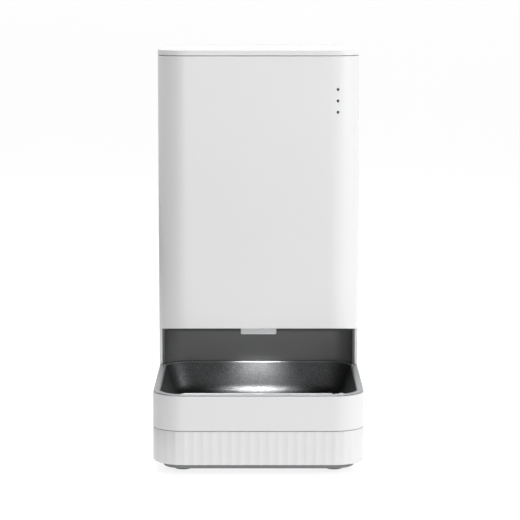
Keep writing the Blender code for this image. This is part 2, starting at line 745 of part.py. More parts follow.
def knuckle(name, start, end):
    return rod(name, (start, HINGE_Y, HINGE_Z), (end, HINGE_Y, HINGE_Z), KNUCKLE_RADIUS, count=24)


def pin_span(side, play):
    """The two ends of a hinge pin, half in the lid's knuckle and half in the cap's."""
    middle = KNUCKLE_HALF + HINGE_CLEARANCE / 2
    ends = (side * (middle - PIN_GRIP - play), side * (middle + PIN_GRIP + play))
    return [(x, HINGE_Y, HINGE_Z) for x in ends]


def pin_bore(name, side):
    return rod(name, *pin_span(side, FIT), PIN_RADIUS + FIT, count=12)


def make_rear_cap():
    cap = prism("rear_cap", TOWER.points(), LID_Z, HEIGHT, WHITE)
    beyond = CORNER
    low = (-WIDTH, TOWER.front - beyond, LID_Z - beyond)
    high = (WIDTH, CAP_FRONT, HEIGHT + beyond)
    cut(cap, block("cap_front", low, high))
    for name, side in (("left", -1), ("right", 1)):
        start = side * (KNUCKLE_HALF + HINGE_CLEARANCE)
        end = start + side * (PIN_GRIP + 2 * PIN_RADIUS)
        join(cap, knuckle(f"cap_knuckle_{name}", start, end))
        low = (min(start, end), HINGE_Y + PIN_RADIUS + FIT, HINGE_Z - KNUCKLE_RADIUS / 2)
        high = (max(start, end), CAP_FRONT + PIN_RADIUS, HINGE_Z + KNUCKLE_RADIUS / 2)
        join(cap, block(f"cap_web_{name}", low, high))
        cut(cap, pin_bore(f"cap_bore_{name}", side))
        rod(f"hinge_pin_{name}", *pin_span(side, 0), PIN_RADIUS, BRIGHT_STEEL, count=12)
    hole = [(BUTTON_RADIUS + FIT, LID_Z - beyond), (BUTTON_RADIUS + FIT, HEIGHT + beyond)]
    cut(cap, turned("button_hole", BUTTON_SPOT, hole))
    for name, side in (("left", -1), ("right", 1)):
        spot = (side * (BUTTON_BOARD_HALF - POST_RADIUS), BUTTON_SPOT[1])
        post = [(POST_RADIUS, BUTTON_BOARD_TOP + FIT), (POST_RADIUS, LID_Z + LID_RIM / 2)]
        join(cap, turned(f"cap_post_{name}", spot, post, count=10))


PLUG = HOPPER.inset(HOPPER_WALL + PLUG_PLAY)
COVERING_Z = HOPPER_TOP + SEAL_HEIGHT + 2 * FIT


def make_lid_inner():
    top = HEIGHT - LID_TOP - FIT
    wide = lid_part(HOPPER, LID_BACK - LID_WALL - FIT)
    ceiling = top - INNER_WALL
    cavity = PLUG.inset(INNER_WALL)
    rings = [
        cavity.ring(ceiling),
        cavity.ring(HOPPER_TOP - PLUG_DEPTH),
        PLUG.ring(HOPPER_TOP - PLUG_DEPTH),
        PLUG.ring(COVERING_Z),
        wide.ring(COVERING_Z),
        wide.ring(top),
    ]
    loft("lid_inner", rings, WHITE, origin=LID_ORIGIN)
    seal_inner = PLUG.inset(-FIT)
    seal_outer = wide.inset(FIT)
    low = HOPPER_TOP + FIT
    seal = [
        seal_outer.ring(low),
        seal_outer.ring(low + SEAL_HEIGHT),
        seal_inner.ring(low + SEAL_HEIGHT),
        seal_inner.ring(low),
    ]
    loft("lid_seal", seal, SILICONE, tube=True, origin=LID_ORIGIN)


def make_desiccant():
    spot = Vector((0, (HOPPER.front + HOPPER.back) / 2))
    ceiling = HEIGHT - LID_TOP - INNER_WALL - 2 * FIT
    wall = DESICCANT_WALL
    low = ceiling - DESICCANT_DEPTH
    box = [
        (DESICCANT_RADIUS - wall, ceiling - wall),
        (DESICCANT_RADIUS - wall, low),
        (DESICCANT_RADIUS, low),
        (DESICCANT_RADIUS, ceiling),
    ]
    turned("desiccant_box", spot, box, WHITE, origin=LID_ORIGIN)
    cap_top = low - FIT
    cap = [
        (DESICCANT_RADIUS - wall, cap_top - 2 * wall),
        (DESICCANT_RADIUS, cap_top - wall),
        (DESICCANT_RADIUS, cap_top),
    ]
    lid_cap = turned("desiccant_cap", spot, cap, WHITE, origin=(*spot, cap_top))
    slot = [(DESICCANT_SLOT_RADIUS, cap_top - 3 * wall), (DESICCANT_SLOT_RADIUS, cap_top + wall)]
    circle_radius = DESICCANT_RADIUS - wall - 3 * DESICCANT_SLOT_RADIUS
    for i, centre in enumerate(circle(spot, circle_radius, DESICCANT_SLOTS)):
        cut(lid_cap, turned(f"desiccant_slot_{i + 1}", centre, slot, count=8))
    bag_radius = DESICCANT_RADIUS - 2 * wall
    bag = [
        (bag_radius - wall, low + FIT),
        (bag_radius, (low + ceiling) / 2),
        (bag_radius - wall, ceiling - 2 * wall),
    ]
    turned("desiccant_bag", spot, bag, PAPER, origin=LID_ORIGIN)


# Food path


def round_ring(radius, z):
    """A ring about the rotor's axis with as many points as a plan's ring."""
    return level(circle((0, DRIVE_Y), radius, 4 * (CORNER_STEPS + 1)), z)


def make_hopper():
    inside = HOPPER.inset(HOPPER_WALL)
    mouth = CUP_RADIUS + CUP_WALL
    low = CUP_TOP + FIT
    neck = low + 2 * CUP_WALL
    rings = [
        round_ring(mouth, low),
        round_ring(mouth, neck),
        HOPPER.ring(neck + FUNNEL_RISE),
        HOPPER.ring(HOPPER_TOP),
        inside.ring(HOPPER_TOP),
        inside.ring(neck + FUNNEL_RISE),
        round_ring(CUP_RADIUS, neck),
        round_ring(CUP_RADIUS, low),
    ]
    loft("hopper", rings, SMOKE, tube=True)


def make_dispenser_cup():
    floor = CUP_FLOOR_Z + CUP_WALL
    profile = [
        (CUP_RADIUS + CUP_WALL, CUP_FLOOR_Z),
        (CUP_RADIUS + CUP_WALL, CUP_TOP),
        (CUP_RADIUS, CUP_TOP),
        (CUP_RADIUS, floor),
    ]
    cup = turned("dispenser_cup", (0, DRIVE_Y), profile, MID_GREY, count=36)
    half = NOZZLE_HALF - NOZZLE_WALL
    low = (-half, CHUTE_FRONT + NOZZLE_WALL, CUP_FLOOR_Z - CUP_WALL)
    high = (half, CHUTE_BACK - NOZZLE_WALL, floor + CUP_WALL)
    bush = SPINDLE_RADIUS + FIT + BUSH_WALL + FIT
    bush_hole = [(bush, CUP_FLOOR_Z - CUP_WALL), (bush, floor + CUP_WALL)]
    cut(cup, block("cup_outlet", low, high), turned("bush_hole", (0, DRIVE_Y), bush_hole, count=16))


def star(count, hub, reach, half, offset):
    """A round hub with straight arms, as an outline about the rotor's axis."""
    outline = []
    hub_angle = math.degrees(math.asin(half / hub))
    step = 360 / count
    for i in range(count):
        turn = offset + i * step
        tip = Matrix.Rotation(math.radians(turn), 2)
        ends = [tip @ Vector((reach, -half)), tip @ Vector((reach, half))]
        outline += [(e.x, DRIVE_Y + e.y) for e in ends]
        outline += arc((0, DRIVE_Y), hub, turn + hub_angle, turn + step - hub_angle, 3)
    return outline


def make_rotor():
    axis = (0, DRIVE_Y, ROTOR_Z)
    vanes = star(VANES, ROTOR_HUB, CUP_RADIUS - ROTOR_CLEARANCE, VANE_HALF, 0)
    rotor = prism("portion_rotor", vanes, ROTOR_Z, ROTOR_Z + ROTOR_HEIGHT, MID_GREY, origin=axis)
    bore = SPINDLE_RADIUS + FIT
    socket = [(bore, ROTOR_Z - CUP_WALL), (bore, ROTOR_Z + SPINDLE_GRIP + FIT)]
    cut(rotor, turned("rotor_socket", axis[:2], socket, count=16))
    boss_radius = ROTOR_HUB - PADDLE_HALF
    arms = star(PADDLES, boss_radius + FIT, PADDLE_REACH, PADDLE_HALF, 90)
    paddle = prism("agitator", arms, PADDLE_Z, PADDLE_Z + PADDLE_HEIGHT, SILICONE, origin=axis)
    boss_low = ROTOR_Z + ROTOR_HEIGHT + FIT
    boss = [(boss_radius, boss_low), (boss_radius, PADDLE_Z + PADDLE_HEIGHT / 2)]
    join(paddle, turned("agitator_boss", axis[:2], boss, count=16))
    spindle = [(SPINDLE_RADIUS, CASE_Z + CASE_FLOOR + FIT), (SPINDLE_RADIUS, ROTOR_Z + SPINDLE_GRIP)]
    turned("drive_spindle", axis[:2], spindle, BRIGHT_STEEL, count=16, origin=axis)
    outer = bore + BUSH_WALL
    low = CUP_FLOOR_Z
    high = low + CUP_WALL
    bush = [(outer, low), (outer, high), (bore, high), (bore, low)]
    turned("spindle_bush", axis[:2], bush, BRASS, count=16, tube=True)


def make_outlet_guard():
    middle = -90
    start, end = middle - GUARD_HALF_ANGLE, middle + GUARD_HALF_ANGLE
    centre = (0, DRIVE_Y)
    outer = arc(centre, CUP_RADIUS - 2 * FIT, start, end, 10)
    inner = arc(centre, ROTOR_HUB + GUARD_PLAY, end, start, 4)
    prism("outlet_guard", outer + inner, GUARD_Z, GUARD_Z + GUARD_THICKNESS, MID_GREY)


def make_outlet_nozzle():
    edge = NOZZLE_WALL / 2
    lower = Plan(NOZZLE_HALF, NOZZLE_FRONT, NOZZLE_BACK, edge, edge)
    upper = Plan(NOZZLE_HALF, CHUTE_FRONT, CHUTE_BACK, edge, edge)
    rings = [
        lower.ring(NOZZLE_Z, 2),
        upper.ring(CHUTE_TOP, 2),
        upper.inset(NOZZLE_WALL).ring(CHUTE_TOP, 2),
        lower.inset(NOZZLE_WALL).ring(NOZZLE_Z, 2),
    ]
    nozzle = loft("outlet_nozzle", rings, MID_GREY, tube=True)
    reach = 2 * NOZZLE_HALF
    eye_z = NOZZLE_Z + SENSOR_RISE
    eye_y = (chute_front(eye_z) + chute_back(eye_z)) / 2
    eye = rod("eye_hole", (-reach, eye_y, eye_z), (reach, eye_y, eye_z), SENSOR_EYE + FIT, count=12)
    pin = rod("flap_pin_hole", (-reach, FLAP_Y, FLAP_Z), (reach, FLAP_Y, FLAP_Z), FLAP_PIN + FIT, count=8)
    cut(nozzle, eye, pin)
    half = SENSOR_SIZE / 2
    for name, side in (("ir_emitter", 1), ("ir_receiver", -1)):
        near = side * (NOZZLE_HALF + FIT)
        far = near + side * SENSOR_SIZE
        low = (min(near, far), eye_y - half, eye_z - half)
        high = (max(near, far), eye_y + half, eye_z + half)
        sensor = block(name, low, high, BLACK)
        middle = (near + far) / 2
        tip = side * (NOZZLE_HALF - NOZZLE_WALL + FIT)
        join(sensor, rod(f"{name}_eye", (middle, eye_y, eye_z), (tip, eye_y, eye_z), SENSOR_EYE))


def flap_length():
    """From the flap's axis to the inside of the chute's front wall, along the closed flap."""
    tilt = math.radians(FLAP_TILT)
    tip_z = FLAP_Z - (FLAP_Y - chute_front(FLAP_Z)) * math.tan(tilt)
    tip_y = chute_front(tip_z + FLAP_THICKNESS / 2) + NOZZLE_WALL + FLAP_GAP
    return (FLAP_Y - tip_y) / math.cos(tilt)


def make_flap():
    half = NOZZLE_HALF - NOZZLE_WALL - FIT
    axis = (0, FLAP_Y, FLAP_Z)
    ends = ((-half, FLAP_Y, FLAP_Z), (half, FLAP_Y, FLAP_Z))
    flap = rod("outlet_flap", *ends, FLAP_BARREL, MID_GREY, origin=axis)
    tilt = math.radians(FLAP_TILT)
    out = Vector((-math.cos(tilt), -math.sin(tilt)))
    side = Vector((out.y, -out.x)) * FLAP_THICKNESS / 2
    start = Vector((FLAP_Y, FLAP_Z)) + out * (FLAP_PIN + 2 * FIT)
    end = Vector((FLAP_Y, FLAP_Z)) + out * flap_length()
    outline = [tuple(start + side), tuple(start - side), tuple(end - side), tuple(end + side)]
    join(flap, prism("flap_plate", outline, 0, 2 * half, turn=across(half)))
    bore = 2 * half
    cut(flap, rod("flap_bore", (-bore, FLAP_Y, FLAP_Z), (bore, FLAP_Y, FLAP_Z), FLAP_PIN + FIT, count=8))
    reach = NOZZLE_HALF + 2 * FIT
    tail = reach + SPRING_TURNS * SPRING_PITCH + 2 * SPRING_WIRE
    rod("flap_pin", (-reach, FLAP_Y, FLAP_Z), (tail, FLAP_Y, FLAP_Z), FLAP_PIN, BRIGHT_STEEL, count=8)
    make_flap_spring(reach)


def make_flap_spring(start_x):
    """A torsion spring coiled round the flap's pin, outside the chute."""
    radius = FLAP_PIN + FIT + SPRING_WIRE
    per_turn = 10
    curve = bpy.data.curves.new("flap_spring", "CURVE")
    curve.dimensions = "3D"
    curve.bevel_depth = SPRING_WIRE
    curve.bevel_resolution = 0
    curve.use_fill_caps = True
    count = SPRING_TURNS * per_turn + 1
    line = curve.splines.new("POLY")
    line.points.add(count - 1)
    for i, point in enumerate(line.points):
        turn = 2 * math.pi * i / per_turn
        x = start_x + SPRING_WIRE + SPRING_PITCH * i / per_turn
        y = FLAP_Y + radius * math.cos(turn)
        z = FLAP_Z + radius * math.sin(turn)
        point.co = (x, y, z, 1)
    curve.materials.append(finish("flap_spring", *BRIGHT_STEEL))
    spring = bpy.data.objects.new("flap_spring", curve)
    bpy.context.scene.collection.objects.link(spring)


# Gear train


def involute(angle):
    return math.tan(angle) - angle


def gear_outline(axis, teeth, module, phase):
    """An involute spur gear about axis, with one tooth centred on the direction phase."""
    pitch = teeth * module / 2
    base = pitch * math.cos(PRESSURE)
    tip = pitch + ADDENDUM * module
    root = pitch - DEDENDUM * module
    half_tooth = math.pi / 2 / teeth - TOOTH_PLAY / 2 / pitch
    start = max(base, root)
    radii = [start + (tip - start) * i / FLANK_STEPS for i in range(FLANK_STEPS + 1)]
    flank = [(r, half_tooth + involute(PRESSURE) - involute(math.acos(base / r))) for r in radii]
    if root < base:
        flank.insert(0, (root, flank[0][1]))
    outline = []
    for i in range(teeth):
        middle = phase + 2 * math.pi * i / teeth
        rising = [(r, middle - half) for r, half in flank]
        falling = [(r, middle + half) for r, half in reversed(flank)]
        tooth = rising + falling
        outline += [(axis.x + r * math.cos(a), axis.y + r * math.sin(a)) for r, a in tooth]
    return outline


def meshing_gap(direction, teeth):
    """The phase of a gear that has a gap, not a tooth, in the given direction."""
    return direction + math.pi / teeth


def gear(name, axis, layers, bore, look):
    """One piece with a toothed layer for each (teeth, module, phase, bottom, top), bored through."""
    made = None
    low = min(layer[3] for layer in layers)
    high = max(layer[4] for layer in layers)
    for i, (teeth, module, phase, bottom, top) in enumerate(layers):
        outline = gear_outline(axis, teeth, module, phase)
        if made is None:
            made = prism(name, outline, bottom, top, look, origin=(*axis, bottom))
        else:
            join(made, prism(f"{name}_layer_{i + 1}", outline, bottom, top))
    hole = [(bore, low - GEAR_FACE), (bore, high + GEAR_FACE)]
    return cut(made, turned(f"{name}_bore", axis, hole, count=12))


def make_gears():
    back = math.pi
    output_phase = math.pi / 2
    idler_b_small = meshing_gap(output_phase + back, SMALL_TEETH)
    idler_a_small = meshing_gap(IDLER_TURN + back, SMALL_TEETH)
    pinion_phase = meshing_gap(MOTOR_TURN + back, SMALL_TEETH)
    bite = GEAR_FACE / 2
    pin_bore_radius = GEAR_PIN_RADIUS + FIT
    output = [(LARGE_TEETH, OUTPUT_MODULE, output_phase, LEVEL_3, LEVEL_3 + GEAR_FACE)]
    gear("output_gear", OUTPUT_AXIS, output, SPINDLE_RADIUS + FIT, NATURAL)
    idler_b = [
        (LARGE_TEETH, IDLER_MODULE, IDLER_TURN, LEVEL_2, LEVEL_2 + GEAR_FACE),
        (SMALL_TEETH, OUTPUT_MODULE, idler_b_small, LEVEL_2 + bite, LEVEL_3 + GEAR_FACE),
    ]
    gear("idler_gear_b", IDLER_B_AXIS, idler_b, pin_bore_radius, NATURAL)
    idler_a = [
        (LARGE_TEETH, IDLER_MODULE, MOTOR_TURN, LEVEL_1, LEVEL_1 + GEAR_FACE),
        (SMALL_TEETH, IDLER_MODULE, idler_a_small, LEVEL_1 + bite, LEVEL_2 + GEAR_FACE),
    ]
    gear("idler_gear_a", IDLER_A_AXIS, idler_a, pin_bore_radius, NATURAL)
    pinion = [(SMALL_TEETH, IDLER_MODULE, pinion_phase, LEVEL_1, LEVEL_1 + GEAR_FACE)]
    gear("motor_pinion", MOTOR_AXIS, pinion, MOTOR_SHAFT + FIT, BRASS)
    for name, axis in (("gear_pin_a", IDLER_A_AXIS), ("gear_pin_b", IDLER_B_AXIS)):
        rod(name, (*axis, CASE_Z + FIT), (*axis, CASE_TOP - FIT), GEAR_PIN_RADIUS, BRIGHT_STEEL, count=12)


def case_outline(margin):
    """A rectangle round all four gears, as low and high corners."""
    left = OUTPUT_AXIS.x - OUTPUT_TIP - margin
    right = max(OUTPUT_AXIS.x + OUTPUT_TIP, IDLER_A_AXIS.x + IDLER_TIP) + margin
    front = OUTPUT_AXIS.y - OUTPUT_TIP - margin
    back = MOTOR_AXIS.y + MOTOR_RADIUS + margin
    return left, right, front, back


def make_gearbox():
    room_margin = CASE_MARGIN - CASE_WALL - 2 * FIT
    left, right, front, back = case_outline(CASE_MARGIN)
    case = block("gearbox_case", (left, front, CASE_Z), (right, back, CASE_TOP), MID_GREY)
    in_left, in_right, in_front, in_back = case_outline(room_margin)
    room_low = (in_left, in_front, CASE_Z + CASE_FLOOR)
    room_high = (in_right, in_back, CASE_TOP + CASE_WALL)
    cut(case, block("case_room", room_low, room_high))
    low, high = CASE_Z - CASE_WALL, CASE_Z + 2 * CASE_FLOOR
    holes = (
        ("a", IDLER_A_AXIS, GEAR_PIN_RADIUS + FIT),
        ("b", IDLER_B_AXIS, GEAR_PIN_RADIUS + FIT),
        ("motor", MOTOR_AXIS, MOTOR_SHAFT + FIT),
    )
    for name, axis, radius in holes:
        cut(case, turned(f"case_hole_{name}", axis, [(radius, low), (radius, high)], count=12))
    cover_z = CASE_TOP + FIT
    cover_high = (right, back, cover_z + COVER_THICKNESS)
    cover = block("gearbox_cover", (left, front, cover_z), cover_high, MID_GREY)
    hole = [(SPINDLE_RADIUS + FIT, CASE_TOP - CASE_WALL), (SPINDLE_RADIUS + FIT, CUP_FLOOR_Z)]
    cut(cover, turned("cover_hole", OUTPUT_AXIS, hole, count=16))


def make_motor_and_bracket():
    top = CASE_Z - FIT
    low = top - MOTOR_LENGTH
    bore = MOTOR_SHAFT + FIT
    shaft_low = top - MOTOR_SHAFT_SOCKET
    edge = 1 * MM
    profile = [
        (MOTOR_RADIUS - edge, low),
        (MOTOR_RADIUS, low + edge),
        (MOTOR_RADIUS, top),
        (bore, top),
        (bore, shaft_low - FIT),
    ]
    turned("drive_motor", MOTOR_AXIS, profile, BRIGHT_STEEL, count=24)
    shaft_high = LEVEL_1 + GEAR_FACE
    ends = ((*MOTOR_AXIS, shaft_low), (*MOTOR_AXIS, shaft_high))
    rod("motor_shaft", *ends, MOTOR_SHAFT, BRIGHT_STEEL, count=12, origin=ends[0])
    left, right, front, back = case_outline(CASE_MARGIN)
    outer = (left - BRACKET_WALL, front + BRACKET_WALL, TRAY_Z)
    bracket = block("drive_bracket", outer, (right + BRACKET_WALL, back, top), MID_GREY)
    under = (left, front, TRAY_Z - BRACKET_WALL)
    cut(bracket, block("bracket_room", under, (right, back + BRACKET_WALL, top - BRACKET_WALL)))
    seat = MOTOR_RADIUS + FIT
    cut(bracket, turned("motor_seat", MOTOR_AXIS, [(seat, low), (seat, CASE_Z + BRACKET_WALL)], count=24))


# Electronics


def make_boards():
    low = (-BOARD_HALF, BOARD_Y, BOARD_Z)
    high = (BOARD_HALF, BOARD_Y + BOARD_THICKNESS, BOARD_Z + BOARD_HEIGHT)
    block("main_board", low, high, GREEN_BOARD)
    width, thickness, tall = MODULE_SIZE
    front = BOARD_Y - FIT
    side = MODULE_MARGIN - BOARD_HALF
    top = BOARD_Z + BOARD_HEIGHT - MODULE_MARGIN
    module_low = (side, front - thickness, top - tall)
    module_high = (side + width, front, top)
    block("wifi_module", module_low, module_high, BRIGHT_STEEL)
    make_motor_lead()


def make_motor_lead():
    """The motor's lead, from under the motor to the main board."""
    start = Vector((*MOTOR_AXIS, CASE_Z - MOTOR_LENGTH - LEAD_RADIUS))
    end = Vector((MOTOR_AXIS.x, BOARD_Y - 2 * FIT, start.z))
    drop = Vector((0, 0, -LEAD_SAG))
    straight = Vector((0, LEAD_PLUG, 0))
    handles = [start, start + drop, (start + end) / 2 + drop, end - straight, end]
    curve = bpy.data.curves.new("motor_lead", "CURVE")
    curve.dimensions = "3D"
    curve.bevel_depth = LEAD_RADIUS
    curve.bevel_resolution = 2
    curve.use_fill_caps = True
    steps = 14
    line = curve.splines.new("POLY")
    line.points.add(steps)
    for i, point in enumerate(line.points):
        point.co = (*bezier(handles, i / steps), 1)
    curve.materials.append(finish("motor_lead", *BLACK))
    lead = bpy.data.objects.new("motor_lead", curve)
    bpy.context.scene.collection.objects.link(lead)


def bezier(handles, t):
    """A point of the Bezier curve through the handles, by repeated interpolation."""
    while len(handles) > 1:
        handles = [a.lerp(b, t) for a, b in zip(handles, handles[1:])]
    return handles[0]


def make_dc_jack():
    back = DEPTH / 2 - FIT
    place = on_axis((0, -1, 0), (JACK_X, back, JACK_Z))
    profile = [
        (JACK_BORE, JACK_LENGTH - JACK_BORE),
        (JACK_BORE, 0),
        (JACK_RADIUS, 0),
        (JACK_RADIUS, JACK_LENGTH),
    ]
    turned("dc_jack", (0, 0), profile, BLACK, count=24, turn=place)


def make_indicators():
    for i in range(3):
        lens_rod(f"indicator_lens_{i + 1}", i, LENS_RADIUS, 0, LENS_LENGTH, SMOKE)
    outward = lens_direction()
    sideways = Vector((-outward.y, outward.x))
    near = lens_point(LENS_LENGTH + FIT)
    far = lens_point(LENS_LENGTH + FIT + BOARD_THICKNESS)
    half = LENS_BOARD_MARGIN
    across_board = half * sideways
    outline = [near - across_board, near + across_board, far + across_board, far - across_board]
    bottom = LENS_TOP - 2 * LENS_PITCH - half
    top = LENS_TOP + half
    prism("indicator_board", [tuple(point) for point in outline], bottom, top, GREEN_BOARD)


def make_feed_button():
    spot = BUTTON_SPOT
    profile = [
        (BUTTON_RADIUS + BUTTON_FLANGE, BUTTON_LOW),
        (BUTTON_RADIUS + BUTTON_FLANGE, LID_Z - FIT),
        (BUTTON_RADIUS, LID_Z - FIT),
        (BUTTON_RADIUS, HEIGHT - 2 * FIT),
    ]
    turned("feed_button", spot, profile, WHITE, origin=(*spot, BUTTON_LOW))
    half = SWITCH_SIZE / 2
    low = SWITCH_TOP - SWITCH_HEIGHT
    high = SWITCH_TOP - SWITCH_HEIGHT / 4
    switch = block("feed_switch", (-half, spot[1] - half, low), (half, spot[1] + half, high), BLACK)
    plunger = [(half / 2, (low + high) / 2), (half / 2, SWITCH_TOP)]
    join(switch, turned("switch_plunger", spot, plunger, count=12))
    board_low = (-BUTTON_BOARD_HALF, spot[1] - half - FIT, BUTTON_BOARD_TOP - BOARD_THICKNESS)
    board_high = (BUTTON_BOARD_HALF, spot[1] + half + FIT, BUTTON_BOARD_TOP)
    block("button_board", board_low, board_high, GREEN_BOARD)


def build():
    for old in list(bpy.data.objects):
        bpy.data.objects.remove(old, do_unlink=True)
    make_base_skirt()
    make_bottom_plate()
    make_chassis_plate()
    make_feet_and_screws()
    make_bowl_tray()
    make_food_bowl()
    make_outer_shell()
    make_recess_liner()
    make_lid()
    make_rear_cap()
    make_lid_inner()
    make_desiccant()
    make_hopper()
    make_dispenser_cup()
    make_rotor()
    make_outlet_guard()
    make_outlet_nozzle()
    make_flap()
    make_gears()
    make_gearbox()
    make_motor_and_bracket()
    make_boards()
    make_dc_jack()
    make_indicators()
    make_feed_button()


build()
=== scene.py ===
# %% [markdown]
# # An automatic pet feeder
# The feeder is a tower that stores dry food over a steel bowl. Most of it is thin moulded plastic:
# a white shell, a lid, a ring round the bowl and a fluted base. This notebook gives each piece its
# fine shape and its finish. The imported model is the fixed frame, so every place is read from it.

# %% Load the frame
import json
import math

import bmesh
import bpy
from mathutils import Matrix, Vector


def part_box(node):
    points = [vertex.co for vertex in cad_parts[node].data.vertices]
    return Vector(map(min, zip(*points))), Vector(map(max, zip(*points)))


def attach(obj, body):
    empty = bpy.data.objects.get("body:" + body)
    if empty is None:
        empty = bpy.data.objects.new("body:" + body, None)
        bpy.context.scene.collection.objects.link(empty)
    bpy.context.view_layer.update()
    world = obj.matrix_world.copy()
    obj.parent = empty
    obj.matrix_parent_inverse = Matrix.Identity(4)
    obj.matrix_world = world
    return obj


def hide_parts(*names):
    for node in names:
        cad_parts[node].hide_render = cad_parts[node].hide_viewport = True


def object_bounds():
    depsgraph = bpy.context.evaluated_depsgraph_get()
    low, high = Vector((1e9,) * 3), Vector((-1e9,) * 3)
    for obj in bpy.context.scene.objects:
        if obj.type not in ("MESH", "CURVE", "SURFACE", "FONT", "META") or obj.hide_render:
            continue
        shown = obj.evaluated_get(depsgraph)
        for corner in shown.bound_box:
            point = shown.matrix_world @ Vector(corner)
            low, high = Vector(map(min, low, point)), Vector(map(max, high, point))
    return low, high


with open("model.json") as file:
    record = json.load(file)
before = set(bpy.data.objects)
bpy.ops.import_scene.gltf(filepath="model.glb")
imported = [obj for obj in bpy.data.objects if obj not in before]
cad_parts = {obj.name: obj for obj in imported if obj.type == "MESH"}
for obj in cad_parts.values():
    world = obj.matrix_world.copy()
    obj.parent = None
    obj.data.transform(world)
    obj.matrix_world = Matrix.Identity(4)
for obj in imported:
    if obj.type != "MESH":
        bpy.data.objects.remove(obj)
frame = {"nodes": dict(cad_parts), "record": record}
cad_low, cad_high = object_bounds()
MM = 0.001
size = (cad_high - cad_low) / MM
extent = f"{size.x:.0f} x {size.y:.0f} x {size.z:.0f} mm"
print(f"the frame holds {len(frame['nodes'])} nodes in {extent}")

# %% [markdown]
# ## Finishes
# Real plastic is never one flat colour. Its gloss drifts over a hand's width, its surface carries a
# fine spark texture from the mould, and both catch the light. A small wrapper makes such shader
# arithmetic read as ordinary sums, and one method adds every other node.

# %% Shader arithmetic


class Wire:
    """A node's output that can be added, multiplied and compared like a number."""

    def __init__(self, finish, socket):
        self.finish = finish
        self.socket = socket

    def _sum(self, operation, first, second):
        return self.finish.node("ShaderNodeMath", {"operation": operation}, {0: first, 1: second})

    def __add__(self, other):
        return self._sum("ADD", self, other)

    def __sub__(self, other):
        return self._sum("SUBTRACT", self, other)

    def __mul__(self, other):
        return self._sum("MULTIPLY", self, other)

    def __gt__(self, other):
        return self._sum("GREATER_THAN", self, other)

    def __radd__(self, other):
        return self._sum("ADD", other, self)

    def __rsub__(self, other):
        return self._sum("SUBTRACT", other, self)

    def __rmul__(self, other):
        return self._sum("MULTIPLY", other, self)


class Finish:
    """A procedural material that is built up node by node round one Principled shader."""

    def __init__(self, name, **constants):
        self.material = bpy.data.materials.new(name)
        self.material.use_nodes = True
        self.tree = self.material.node_tree
        self.shader = self.tree.nodes["Principled BSDF"]
        for socket, value in constants.items():
            self.feed(socket.replace("_", " ").title().replace("Ior", "IOR"), value)

    def node(self, kind, settings=None, sockets=None, output=0):
        """Adds a node, sets its settings, then fills its sockets, and hands back one output."""
        made = self.tree.nodes.new(kind)
        for name, value in (settings or {}).items():
            if name == "stops":
                for stop, (place, shade) in zip(made.color_ramp.elements, value):
                    stop.position = place
                    stop.color = (shade, shade, shade, 1)
            else:
                setattr(made, name, value)
        for name, value in (sockets or {}).items():
            self._fill(made.inputs[name], value)
        return Wire(self, made.outputs[output])

    def feed(self, socket, value):
        self._fill(self.shader.inputs[socket], value)

    def _fill(self, socket, value):
        if isinstance(value, Wire):
            self.tree.links.new(value.socket, socket)
        else:
            socket.default_value = value

    def place(self, stretch=(1, 1, 1)):
        """Object coordinates in metres, stretched along an axis where a grain runs."""
        spot = self.node("ShaderNodeTexCoord", output="Object")
        return self.node("ShaderNodeMapping", sockets={"Vector": spot, "Scale": stretch})

    def noise(self, scale, detail=2.0, stretch=(1, 1, 1)):
        sockets = {"Vector": self.place(stretch), "Scale": scale, "Detail": detail}
        return self.node("ShaderNodeTexNoise", sockets=sockets)

    def ramp(self, value, low, high):
        """Stretches the middle of a noise so that low and high become 0 and 1."""
        stops = ((low, 0.0), (high, 1.0))
        return self.node("ShaderNodeValToRGB", {"stops": stops}, {"Fac": value})

    def mix(self, share, first, second):
        sockets = {0: share, 6: (*first, 1), 7: (*second, 1)}
        return self.node("ShaderNodeMix", {"data_type": "RGBA"}, sockets, output=2)

    def relief(self, height, depth, strength=1.0):
        """Raises the surface by a height pattern. The depth is in metres."""
        sockets = {"Height": height, "Distance": depth, "Strength": strength}
        self.feed("Normal", self.node("ShaderNodeBump", sockets=sockets))


def tint(colour, factor):
    return tuple(min(1.0, channel * factor) for channel in colour)


print("the shader helpers are ready")

# %% [markdown]
# ### Moulded plastics
# The white parts are satin ABS, the recess and the food path are matt grey, and the bin is smoked
# clear plastic. One recipe serves them all: a colour that drifts by a percent or two, a gloss that
# drifts more, and a relief of tiny spark-eroded grains. Only the numbers change.

# %% Plastic recipe
GRAIN_SCALE = 2600
DRIFT_SCALE = 14


def moulded(name, colour, roughness, grain=0.00001, drift=0.03, **constants):
    look = Finish(name, **constants)
    cloud = look.noise(DRIFT_SCALE, 3)
    fine = look.noise(GRAIN_SCALE, 1)
    look.feed("Base Color", look.mix(cloud, tint(colour, 1 - drift), tint(colour, 1 + drift)))
    look.feed("Roughness", cloud * 0.1 + fine * 0.06 + (roughness - 0.08))
    look.relief(fine, grain, 0.5)
    return look


